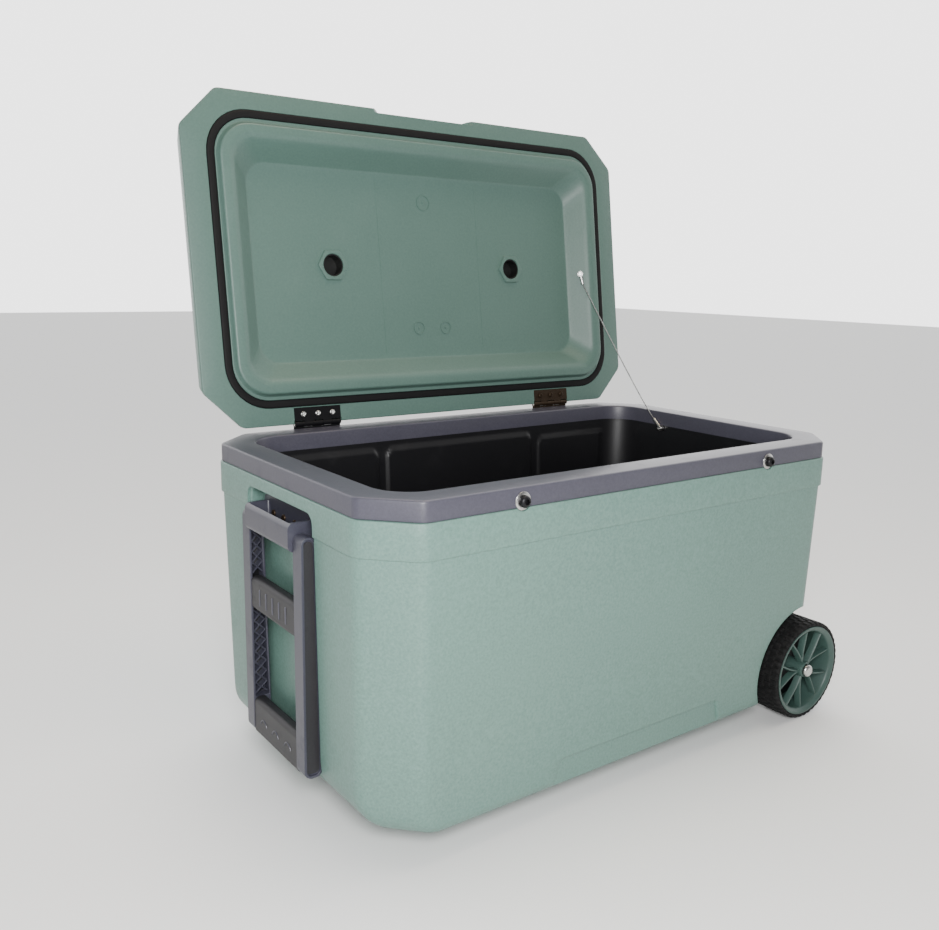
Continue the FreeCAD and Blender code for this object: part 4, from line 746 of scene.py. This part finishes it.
# A drafted tub form from a rounded foot to its mouth, with panels where relief is true.
def tubSolid(name, low, high, right, grow, relief):
    form = linerForm
    steps = {"sideSteps": (1, 60, 1, 200, 1, 60, 1, 200)} if relief else {}
    foot = form["foot"] + grow
    heights = [foot * (1 - math.cos(a)) for a in np.linspace(0, math.pi / 2, 7)]
    heights += list(np.linspace(foot, high - low, 50 if relief else 6))[1:]
    loops = []
    for height in heights:
        z = low + height
        lean = form["draft"] * (rimBottom - z) / (rimBottom - form["floor"]) if z < rimBottom else 0
        pull = underInset(height, foot)
        long = halfLong - collarForm["width"] - lean + grow - pull
        deep = halfDeep - collarForm["width"] - lean + grow - pull
        end = long if right is None else right + grow - pull
        radius = form["round"] + grow
        if right is None:
            loop = octagonLoop(-long, end, -deep, deep, cutPerRound * radius, radius, z, **steps)
        else:
            loop = octagonLoop(-long, end, -deep, deep, cutPerRound * radius, radius, z)
        if relief:
            side = np.abs(loop[:, 1]) > deep - 0.5 * mm
            loop[:, 1] -= np.where(side, np.sign(loop[:, 1]) * panelRelief(loop[:, 0], loop[:, 2]), 0)
        loops.append(loop)
    return skin(name, loops, sharp=50)


linerWall, wellEnd = linerForm["wall"], (linerForm["wellTop"], linerForm["shelfStart"])
liner = tubSolid("tub_liner", linerForm["shelf"] - linerWall, rimBottom, None, linerWall, False)
carve(liner, [tubSolid("well", linerForm["floor"] - linerWall, *wellEnd, linerWall, False)], "UNION")
carve(liner, [tubSolid("room", linerForm["shelf"], rimBottom + 10 * mm, None, 0, True)])
carve(liner, [tubSolid("deep", linerForm["floor"], *wellEnd, 0, False)], sharp=50)
mount(liner, "box", finishes["blackPolyethylene"], ["liner"])
print("collar and liner made")

# Lid.

lidForm = {
    "bottom": rimTop + 2.5 * mm,
    "seam": rimTop + 7.5 * mm,
    "top": rimTop + 57.5 * mm,
    "cut": 50 * mm,
    "round": 14 * mm,
    "topRound": 9 * mm,
    "groove": (338 * mm, 194 * mm, 60 * mm),
    "grooveWidth": 11 * mm,
    "grooveDeep": 3.5 * mm,
    "draft": 15 * mm,
    "lip": (326 * mm, 178.5 * mm, 48 * mm),
    "lipProud": 8 * mm,
    "lean": 4 * mm,
    "crest": 15 * mm,
    "slope": (28 * mm, 26 * mm),
    "dishDeep": 22 * mm,
    "dishRound": 30 * mm,
    "wall": 4 * mm,
    "portX": 159 * mm,
    "portBore": 15.5 * mm,
    "portFlats": 41 * mm,
    "portProud": 3 * mm,
    "hingeX": 211 * mm,
}


# The lid's underside from its seam, over the flange, groove and lip, down to the dish floor, and back
# behind.
def lidPanelLoops(form=lidForm):
    low = form["bottom"]
    loops = []

    def edgeLoop(inset, z):
        loops.append(evenLoop(halfLong - inset, halfDeep - inset, form["cut"], form["round"], z))

    def roundAt(size, inset, z):
        loops.append(roundLoop(size[0] - inset, size[1] - inset, size[2] - inset, z))

    dishZ = rimTop + 2.5 * mm + form["dishDeep"]
    backZ = dishZ + form["wall"]
    lipLow = low - form["lipProud"]
    lip, lean = form["lip"], form["lean"]
    mouth = [size - lean - form["crest"] for size in lip]
    floor = (mouth[0] - form["slope"][0], mouth[1] - form["slope"][1], form["dishRound"])

    def dishAt(share, z, grow=0.0):
        size = [m + (f - m) * share + grow for m, f in zip(mouth, floor)]
        loops.append(roundLoop(*size, z))

    dishAt(1.06, backZ, form["wall"])
    dishAt(1.0, backZ, form["wall"])
    dishAt(0.2, form["seam"] + 0.1 * mm, form["wall"])
    edgeLoop(1.5 * mm, form["seam"])
    edgeLoop(0.3 * mm, form["seam"] - 0.2 * mm)
    for back, up in quarter(1.5 * mm, 4):
        edgeLoop(back, low + 1.5 * mm - up)
    groove = form["groove"]
    roundAt(groove, -0.4 * mm, low)
    roundAt(groove, 0, low + 0.4 * mm)
    roundAt(groove, 0, low + form["grooveDeep"])
    roundAt(groove, form["grooveWidth"], low + form["grooveDeep"])
    roundAt(groove, form["grooveWidth"], low + 0.4 * mm)
    roundAt(groove, form["grooveWidth"] + 0.4 * mm, low)
    for back, up in ((-0.5, 0), (0.1, 0.2), (0.5, 0.8)):
        roundAt(lip, back * mm, low - up * mm)
    for back, up in quarter(3.4 * mm, 7):
        roundAt(lip, lean * 0.7 + back, lipLow + 3.4 * mm - up)
    # the crest is a little crowned
    for share in (0.25, 0.5, 0.75):
        roundAt(lip, lean + form["crest"] * share, lipLow + 0.5 * mm * abs(2 * share - 1) - 0.25 * mm)
    for share, z in ((-0.11, 0.25), (-0.05, 0.8), (0.02, 1.7)):
        dishAt(share, lipLow + z * mm)
    for share in np.linspace(0.1, 0.9, 7):
        dishAt(share, lipLow + (dishZ - lipLow) * share)
    for share, drop in ((0.955, 1.5), (0.985, 0.75), (1.02, 0.25), (1.07, 0.0)):
        dishAt(share, dishZ - drop * mm)
    dishAt(1.5, dishZ)
    return opened(loops)


# A regular hexagon with softened corners, round a port.
def hexLoop(x, flats, z, radius):
    reach = flats / math.sqrt(3)
    corners = [(x + reach * math.cos(math.pi / 3 * i), reach * math.sin(math.pi / 3 * i)) for i in range(6)]
    flat = roundedOutline(corners, radius, 5, 3)
    return np.column_stack([flat, np.full(len(flat), z)])


def ringLoop(x, y, radius, z, steps=64):
    angle = np.linspace(0, 2 * math.pi, steps, endpoint=False)
    return np.column_stack([x + radius * np.cos(angle), y + radius * np.sin(angle), np.full(steps, z)])


def portRim(x, form=lidForm):
    dishZ = form["bottom"] + form["dishDeep"]
    flats, proud = form["portFlats"], form["portProud"]
    rows = [
        (flats + 1.6 * mm, 1 * mm),
        (flats + 1.2 * mm, 0),
        (flats + 0.5 * mm, -0.5 * mm),
        (flats, -1.2 * mm),
        (flats - 0.2 * mm, -proud + 0.8 * mm),
        (flats - 0.8 * mm, -proud + 0.2 * mm),
        (flats - 1.8 * mm, -proud),
    ]
    return skin("port", opened([hexLoop(x, size, dishZ + z, 3 * mm) for size, z in rows]))


def portBore(x, form=lidForm):
    dishZ = form["bottom"] + form["dishDeep"]
    bore, proud = form["portBore"], form["portProud"]
    rows = [
        (bore + 2 * mm, -proud - 1 * mm),
        (bore + 0.9 * mm, -proud - 0.05 * mm),
        (bore + 0.3 * mm, -proud + 0.4 * mm),
        (bore, -proud + 1.1 * mm),
        (bore, form["wall"] + 2 * mm),
    ]
    return skin("bore", opened([ringLoop(x, 0, radius, dishZ + z) for radius, z in rows]))


# A block-shaped gap in the shut lid with rounded upright corners and a bevelled roof; its ends lean in
# towards the roof by the slope times the height over the lid's underside.
def slotCutter(x0, x1, y0, y1, z0, z1, radius, slope=0.0):
    rows = [(z0, 0), (lidForm["bottom"], 0), (z1 - 2 * mm, 0), (z1 - 0.6 * mm, 0.6 * mm), (z1, 2 * mm)]
    loops = []
    for z, inset in rows:
        lean = inset + slope * max(z - lidForm["bottom"], 0)
        left, right, near, far = x0 + lean, x1 - lean, y0 + inset, y1 - inset
        corners = [(left, near), (right, near), (right, far), (left, far)]
        flat = roundedOutline(corners, radius, 5, 2)
        loops.append(np.column_stack([flat, np.full(len(flat), z)]))
    return skin("gap", opened(loops))


def lidGaps(form=lidForm):
    low = form["bottom"] - 30 * mm
    roof, hingeRoof = form["bottom"] + 14 * mm, rimTop + 11.5 * mm
    y0, y1 = -halfDeep - 30 * mm, -halfDeep + 6 * mm
    tools = [slotCutter(-87 * mm, 87 * mm, y0, y1, low, roof, 4 * mm, slope=1.1)]
    y0, y1 = halfDeep - 5.5 * mm, halfDeep + 30 * mm
    for side in (-1, 1):
        x0, x1 = side * form["hingeX"] - 36 * mm, side * form["hingeX"] + 36 * mm
        tools.append(slotCutter(x0, x1, y0, y1, low, hingeRoof, 1 * mm))
    return tools


# Shallow seats in the flange for the two hinge leaves.
def leafSeats(form=lidForm):
    tools = []
    y0, y1 = halfDeep - 22.4 * mm, halfDeep + 5 * mm
    z0, z1 = form["bottom"] - 1 * mm, form["bottom"] + 2 * mm
    for side in (-1, 1):
        x0, x1 = side * form["hingeX"] - 35.4 * mm, side * form["hingeX"] + 35.4 * mm
        tools.append(slotCutter(x0, x1, y0, y1, z0, z1, 0.5 * mm))
    return tools


lidPanel = skin("lid_lining", lidPanelLoops())
carve(lidPanel, [portRim(-lidForm["portX"]), portRim(lidForm["portX"])], "UNION")
carve(lidPanel, [portBore(-lidForm["portX"]), portBore(lidForm["portX"])] + lidGaps() + leafSeats())
# painted shade: the lid's lining takes the darker copy of the sage
mount(lidPanel, "lid", finishes["liningPolyethylene"], ["lid_inner_panel"])


def lidShellLoops(inset, form=lidForm):
    loops = []
    bend = form["topRound"] - inset

    def addLoop(back, z):
        draft = form["draft"] * max(z - form["seam"], 0) / (form["top"] - form["seam"])
        inward = inset + draft + back
        cut = form["cut"] - cutPerRound * (inset + draft)
        loops.append(evenLoop(halfLong - inward, halfDeep - inward, cut, form["round"], z))

    if inset:
        addLoop(0, form["seam"] - 10 * mm)
        addLoop(0, form["seam"])
    else:
        addLoop(1.2 * mm, form["seam"])
        addLoop(0.3 * mm, form["seam"] + 0.3 * mm)
        addLoop(0, form["seam"] + 1.2 * mm)
    for back, up in quarter(bend, 8):
        addLoop(back, form["top"] - inset - bend + up)
    if not inset:
        for back, drop in ((40, 0), (42, 0.4), (44, 1.2), (46, 1.6), (60, 1.6)):
            addLoop(back * mm, form["top"] - drop * mm)
    return opened(loops)


lidShell = skin("lid_cover", lidShellLoops(0))
carve(lidShell, [skin("lid_room", lidShellLoops(lidForm["wall"]))] + lidGaps())
mount(lidShell, "lid", finishes["sagePolyethylene"], ["lid_outer_shell"])


# A sealing strip: square in its groove, with a round crown and two fine side lips.
def gasketLoops(form=lidForm):
    size, width, low = form["groove"], form["grooveWidth"], form["bottom"]
    rows = [(0.3, 3.4), (0.1, 0.4), (0.9, -0.6), (1.6, -1.0), (3.0, -1.2), (5.5, -1.3)]
    rows += [(8.0, -1.2), (9.4, -1.0), (10.1, -0.6), (10.9, 0.4), (10.7, 3.4)]
    return opened([roundLoop(*(full - a * mm for full in size), low + z * mm) for a, z in rows])


seal = skin("lid_seal", gasketLoops(), ring=True, sharp=60)
mount(seal, "lid", finishes["sealRubber"], ["lid_gasket"])


# A fine raised ring that the mould leaves on the dish floor, with a dot in its middle.
def markRing(name, x, y, radius, height):
    z = lidForm["bottom"] + lidForm["dishDeep"]
    rows = [(0.8 * mm, 0.3 * mm), (0.5 * mm, -height), (-0.5 * mm, -height), (-0.8 * mm, 0.3 * mm)]
    ring = skin(name, opened([ringLoop(x, y, radius + out, z + up, 48) for out, up in rows]), ring=True)
    rows = [(2.2 * mm, 0.3 * mm), (1.8 * mm, -height), (1.2 * mm, -height * 1.1)]
    return [ring, skin(name + "_dot", opened([ringLoop(x, y, r, z + up, 16) for r, up in rows]))]


# a fine parting line that the mould leaves across the dish floor
def partingLine(x, half, height):
    z = lidForm["bottom"] + lidForm["dishDeep"]
    loops = []
    for grow, up in ((0.5 * mm, 0.3 * mm), (0.3 * mm, -height)):
        corners = [(x - grow, -half), (x + grow, -half), (x + grow, half), (x - grow, half)]
        loops.append([(a, b, z + up) for a, b in corners])
    return skin("parting", opened(loops))


marks = markRing("gate", 0, -95 * mm, 11 * mm, 0.9 * mm)
for name, x in (("clock_a", -21 * mm), ("clock_b", 27 * mm)):
    marks += markRing(name, x, 90 * mm, 9 * mm, 0.9 * mm)
marks += [partingLine(-81 * mm, 128 * mm, 0.25 * mm), partingLine(96 * mm, 128 * mm, 0.25 * mm)]
# the marks take the lining's darker sage, which is painted shade
mount(settleMesh(join("lid_mould_marks", marks)), "lid", finishes["liningPolyethylene"])
print("lid made")

# Wheels.

wheelForm = {
    "outer": 226 * mm,
    "width": 55 * mm,
    "ringRadius": 61 * mm,
    "lipRadius": 64.5 * mm,
    "ringInner": 56 * mm,
    "hubOuter": 223 * mm,
    "hubRadius": 11 * mm,
    "boreRadius": 8.1 * mm,
    "spokes": 10,
    "spokeWidth": 2.8 * mm,
    "spokeDeep": 9 * mm,
    "shadeDiscInset": 44 * mm,
    "spokeSwing": 0.30,
    "lugs": 44,
    "lugDeep": 1.8 * mm,
}


# The tyre is a ring whose radius is cut back by grooves: four rows of blocks, each row shifted by half
# a block against the next, and notches over both shoulders.
def tyreLoops(side, form=wheelForm, steps=528):
    outer, inner = form["outer"], form["outer"] - form["width"]
    high, low = wheelRadius, form["ringRadius"] + 0.2 * mm
    rows = [(outer - y * mm, low + up * mm) for y, up in ((2.5, 0), (1.4, 3), (0.4, 4.2), (0, 5.2))]
    rows += [(outer - y * mm, high - down * mm) for y, down in ((0.2, 2.6), (1.0, 1.1), (2.4, 0.3))]
    rows += [(y, high) for y in np.linspace(outer - 4 * mm, inner + 4 * mm, 40)]
    rows += [(inner + y * mm, high - down * mm) for y, down in ((2.4, 0.3), (1.0, 1.1), (0, 2.6))]
    rows += [(inner + y * mm, low + up * mm) for y, up in ((0, 5.2), (1.4, 3), (2.5, 0))]
    angle = np.linspace(0, 2 * math.pi, steps, endpoint=False)
    loops = []
    for y, radius in rows:
        across = (outer - y) / form["width"]
        band = min(int(across * 5), 4)
        wave = np.cos(form["lugs"] * angle + math.pi * (band % 2))
        gap = np.clip((wave - 0.35) / 0.25, 0, 1)
        between = 1 - abs((across * 5) % 1 - 0.5) * 2
        gap = np.maximum(gap, 1.0 if between < 0.16 and 0.1 < across < 0.9 else 0.0)
        gap = gap if radius > high - 3 * mm else np.zeros_like(gap)
        loops.append(wheelLoop(side * y, radius - form["lugDeep"] * gap, archCentre, steps))
    return loops


# A spoke's line runs out from the hub while its angle swings by an even share of a sine, so that
# neighbours that swing opposite ways meet in pairs at the hub.
def spokePiece(number, side, form=wheelForm):
    away = np.linspace(form["hubRadius"] - 2 * mm, form["ringInner"] + 2 * mm, 16)
    share = (away - away[0]) / (away[-1] - away[0])
    lean = 1 if number % 2 else -1
    angle = 2 * math.pi * (number + 0.5) / form["spokes"] - lean * form["spokeSwing"] * (1 - share) ** 1.6
    centre = np.column_stack([away * np.cos(angle), away * np.sin(angle)])
    way = np.gradient(centre, axis=0)
    way /= np.linalg.norm(way, axis=1)[:, None]
    across = np.column_stack([-way[:, 1], way[:, 0]])
    face = form["hubOuter"] - 4 * mm + 1.5 * mm * share
    half, deep = form["spokeWidth"] / 2, form["spokeDeep"]
    section = [(-half, 0.9 * mm), (-half * 0.6, 0), (half * 0.6, 0), (half, 0.9 * mm)]
    section += [(half * 1.25, deep), (-half * 1.25, deep)]
    loops = []
    for i in range(len(away)):
        row = []
        for offset, drop in section:
            spot = centre[i] + across[i] * offset
            row.append((archCentre[0] + spot[0], side * (face[i] - drop), archCentre[1] + spot[1]))
        loops.append(row)
    return skin("spoke", loops)


def wheelRim(name, side, form=wheelForm):
    hub, outer = form["hubRadius"], form["outer"]
    inner = outer - form["width"]
    ringRows = [
        (inner + 3 * mm, form["ringRadius"]),
        (outer - 2.6 * mm, form["ringRadius"]),
        (outer - 1.6 * mm, form["ringRadius"] + 2.4 * mm),
        (outer - 0.9 * mm, form["lipRadius"] - 0.6 * mm),
        (outer - 0.2 * mm, form["lipRadius"] - 0.8 * mm),
        (outer + 0.0 * mm, form["lipRadius"] - 1.6 * mm),
        (outer - 0.2 * mm, form["ringRadius"] + 0.2 * mm),
        (outer - 1.2 * mm, form["ringRadius"] - 1.4 * mm),
        (outer - 3.0 * mm, form["ringInner"] + 1.2 * mm),
        (outer - 5.0 * mm, form["ringInner"]),
        (inner + 3 * mm, form["ringInner"] + 1 * mm),
    ]
    ring = skin("ring", latheLoops(ringRows, archCentre, side, 128), ring=True)
    hubStart, hubEnd = outer - form["width"] - 2.6 * mm, form["hubOuter"]
    hubRows = [
        (hubStart, form["boreRadius"]),
        (hubStart, hub),
        (hubEnd - 3 * mm, hub),
        (hubEnd - 1.2 * mm, hub - 0.5 * mm),
        (hubEnd, hub - 2 * mm),
        (hubEnd, form["boreRadius"]),
    ]
    hubPiece = skin("hub", latheLoops(hubRows, archCentre, side, 64), ring=True)
    spokes = [spokePiece(i, side) for i in range(form["spokes"])]
    return settleMesh(join(name, [ring, hubPiece] + spokes))


# A dark disc behind the spokes: painted shade, standing in for the shadow inside the wheel.
def paintedShadeDisc(name, side, form=wheelForm):
    face = form["outer"] - form["shadeDiscInset"]
    hub, edge = form["hubRadius"] - 0.5 * mm, form["ringInner"] + 1.4 * mm
    rows = [(face, hub), (face, edge), (face - 3 * mm, edge), (face - 3 * mm, hub)]
    return skin(name, latheLoops(rows, archCentre, side, 96), ring=True)


for name, side in (("front", -1), ("rear", 1)):
    tyre = skin("tread_" + name, tyreLoops(side), ring=True, sharp=40)
    mount(tyre, "wheel_" + name, finishes["tyreRubber"], ["tyre_" + name])
    rim = wheelRim("spoked_rim_" + name, side)
    mount(rim, "wheel_" + name, finishes["wheelNylon"], ["wheel_rim_" + name])
    # the dark disc behind the spokes is painted shade
    discPiece = paintedShadeDisc("wheel_painted_shade_" + name, side)
    mount(discPiece, "wheel_" + name, finishes["blackPolyethylene"])
print("wheels made")

# Tow handle: softened arms and grips, crossed ribs in the arms, short ribs on the grips.

handleForm = {
    "armIn": 57 * mm,
    "ribDeep": 10.5 * mm,
    "ribThick": 1.5 * mm,
    "bays": ((259 * mm, 311 * mm, 4), (108 * mm, 213 * mm, 8)),
    "front": -378.6 * mm,
    "backTop": -367.0 * mm,
    "backEnd": -362.6 * mm,
    "gripRibs": 5,
}


# A straight rib between two points (x, z): its long edges are rounded over by a fifth of its thickness.
def stripSolid(start, end, thick, deep, side, form=handleForm):
    start, end = np.array(start), np.array(end)
    way = (end - start) / np.linalg.norm(end - start)
    across = np.array([-way[1], way[0]]) * thick / 2
    rows = []
    for spot in (start, end):
        row = []
        for share, y in ((-1, deep), (-1, 0.4 * mm), (-0.6, 0), (0.6, 0), (1, 0.4 * mm), (1, deep)):
            p = spot + across * share
            row.append((p[0], side * (form["armIn"] + 1.2 * mm + y), p[1]))
        rows.append(row)
    return skin("rib", rows)


def latticePiece(name, side, form=handleForm):
    ribs = []
    for low, high, count in form["bays"]:
        pitch = (high - low) / count
        for i in range(count):
            z0, z1 = low + i * pitch, low + (i + 1) * pitch
            lean = (0.311 - (z0 + z1) / 2) / 0.25
            back = form["backTop"] + (form["backEnd"] - form["backTop"]) * lean
            for a, b in ((z0, z1), (z1, z0)):
                start, end = (form["front"], a), (back, b)
                ribs.append(stripSolid(start, end, form["ribThick"], form["ribDeep"], side))
    return settleMesh(join(name, ribs))


# A thin plate in an arm's hollow, seen from the side: y0 and y1 are its faces, z runs from low to high.
def armPlate(name, side, y0, y1, low, high, inset, form=handleForm):
    back = [form["backTop"] + (form["backEnd"] - form["backTop"]) * (0.311 - z) / 0.25 for z in (high, low)]
    corners = [
        (form["front"] + inset, low),
        (back[1] - inset, low),
        (back[0] - inset, high),
        (form["front"] + inset, high),
    ]
    flat = roundedOutline(corners, 4.5 * mm, 6, 4)
    loops = [np.column_stack([flat[:, 0], np.full(len(flat), side * y), flat[:, 1]]) for y in (y0, y1)]
    return skin(name, loops)


# Short raised ribs on a grip: each is a rounded bar across the grip's outer face.
def gripRibs(name, spots, z0, z1, face, form=handleForm):
    ribs = []
    for y in spots:
        rows = []
        for z, grow in ((z0, 0.2), (z0 + 1 * mm, 1), (z1 - 1 * mm, 1), (z1, 0.2)):
            half, proud = 1.1 * mm, 0.9 * mm * grow
            section = [(face + 0.5 * mm, -half), (face, -half), (face - proud, -half * 0.5)]
            section += [(face - proud, half * 0.5), (face, half), (face + 0.5 * mm, half)]
            rows.append([(x, y + across, z) for x, across in section])
        ribs.append(skin("rib", rows))
    return settleMesh(join(name, ribs))


# Low arches on the end grip: a round bar bent over half a turn.
def gripArches(name, spots, z, radius, face):
    arches = []
    for y in spots:
        rows = []
        for angle in np.linspace(0.15 * math.pi, 0.85 * math.pi, 13):
            middle = (y + radius * math.cos(angle), z + radius * 1.3 * math.sin(angle))
            row = []
            for swing in np.linspace(0, 2 * math.pi, 8, endpoint=False):
                out = 0.8 * mm * math.cos(swing)
                x = face - 0.8 * mm * math.sin(swing)
                row.append((x, middle[0] + out * math.cos(angle), middle[1] + out * math.sin(angle)))
            rows.append(row)
        arches.append(skin("arch", rows))
    return settleMesh(join(name, arches))


gripFace = -381 * mm
midRibs = gripRibs("mid_grip_ribs", np.linspace(-0.034, 0.034, 5), 0.226, 0.246, gripFace)
mount(midRibs, "handle", finishes["handleNylon"])
endArches = gripArches("end_grip_arches", np.linspace(-0.032, 0.032, 3), 0.072, 9 * mm, gripFace)
mount(endArches, "handle", finishes["handleNylon"])
# the grips are drawn in a darker grey than the arms
for grip in ("handle_mid_grip", "handle_end_grip"):
    dress(grip, "darkGripGrey")
for name, side in (("front", -1), ("rear", 1)):
    # the black plate at the back of the lattice is painted shade in the arm's hollow
    hollowShade = armPlate("arm_hollow_shade_" + name, side, 68.2 * mm, 68.9 * mm, 0.1045, 0.3145, 0.2 * mm)
    mount(hollowShade, "handle", finishes["blackPolyethylene"])
    # the plate in the arm's side channel is drawn in the grips' darker grey
    channelPlate = armPlate("arm_channel_plate_" + name, side, 73.9 * mm, 74.9 * mm, 0.063, 0.329, 0.3 * mm)
    mount(channelPlate, "handle", finishes["darkGripGrey"])
    arm = softCopy("arm_" + name, "handle_arm_" + name, 0.9 * mm)
    mount(arm, "handle", finishes["handleNylon"], ["handle_arm_" + name])
    mount(latticePiece("arm_ribs_" + name, side), "handle", finishes["handleNylon"])
bracket = softCopy("bracket", "handle_bracket", 0.8 * mm)
mount(bracket, "box", finishes["handleNylon"], ["handle_bracket"])
print("handle made")

# Stage.

stageForm = {
    "floorSize": 12.0,
    "floorColour": "#e9e9e8",
    "backdropWay": (0.6, 0.8, 0.0),
    "backdrop": 3.2,
    "room": 0.28,
    "fade": (-0.1, 0.65),
}


def makeStage(form):
    size = form["floorSize"]
    corners = [(-size, -size, 0), (size, -size, 0), (size, size, 0), (-size, size, 0)]
    floor = newPiece("floor", corners, [(0, 1, 2, 3)])
    material, tree = newMaterial("pale matt floor")
    finishMaterial(tree, {"Base Color": linear(form["floorColour"]), "Roughness": 0.8})
    floor.data.materials.append(material)
    # the studio's far wall is lit, and the room darkens towards the camera's side
    world = bpy.data.worlds.new("studio")
    world.use_nodes = True
    tree = world.node_tree
    way = addNode(tree, "ShaderNodeTexCoord", {}).outputs["Generated"]
    toWall = addNode(tree, "ShaderNodeVectorMath", {0: way, 1: form["backdropWay"]}, operation="DOT_PRODUCT")
    strength = ranged(tree, toWall.outputs["Value"], form["room"], form["backdrop"], *form["fade"])
    tree.links.new(strength, tree.nodes["Background"].inputs["Strength"])
    tree.nodes["Background"].inputs["Color"].default_value = (1, 1, 1, 1)
    bpy.context.scene.world = world


def areaLight(name, place, target, size, power, colour=(1, 1, 1)):
    lamp = bpy.data.lights.new(name, "AREA")
    lamp.shape = "DISK"
    lamp.size = size
    lamp.energy = power
    lamp.color = colour
    light = bpy.data.objects.new(name, lamp)
    way = np.array(target) - np.array(place)
    turn = Vector(way).to_track_quat("-Z", "Y").to_matrix().to_4x4()
    light.matrix_world = Matrix.Translation(boxMiddle + place) @ turn
    bpy.context.collection.objects.link(light)


makeStage(stageForm)
areaLight("key", (-0.8, -1.0, 0.75), (-0.15, 0, 0.3), 0.5, 25)
areaLight("warm", (0.1, -0.1, 2.3), (0, 0, 0.4), 1.0, 16, colour=(1.0, 0.82, 0.6))
print("stage made")
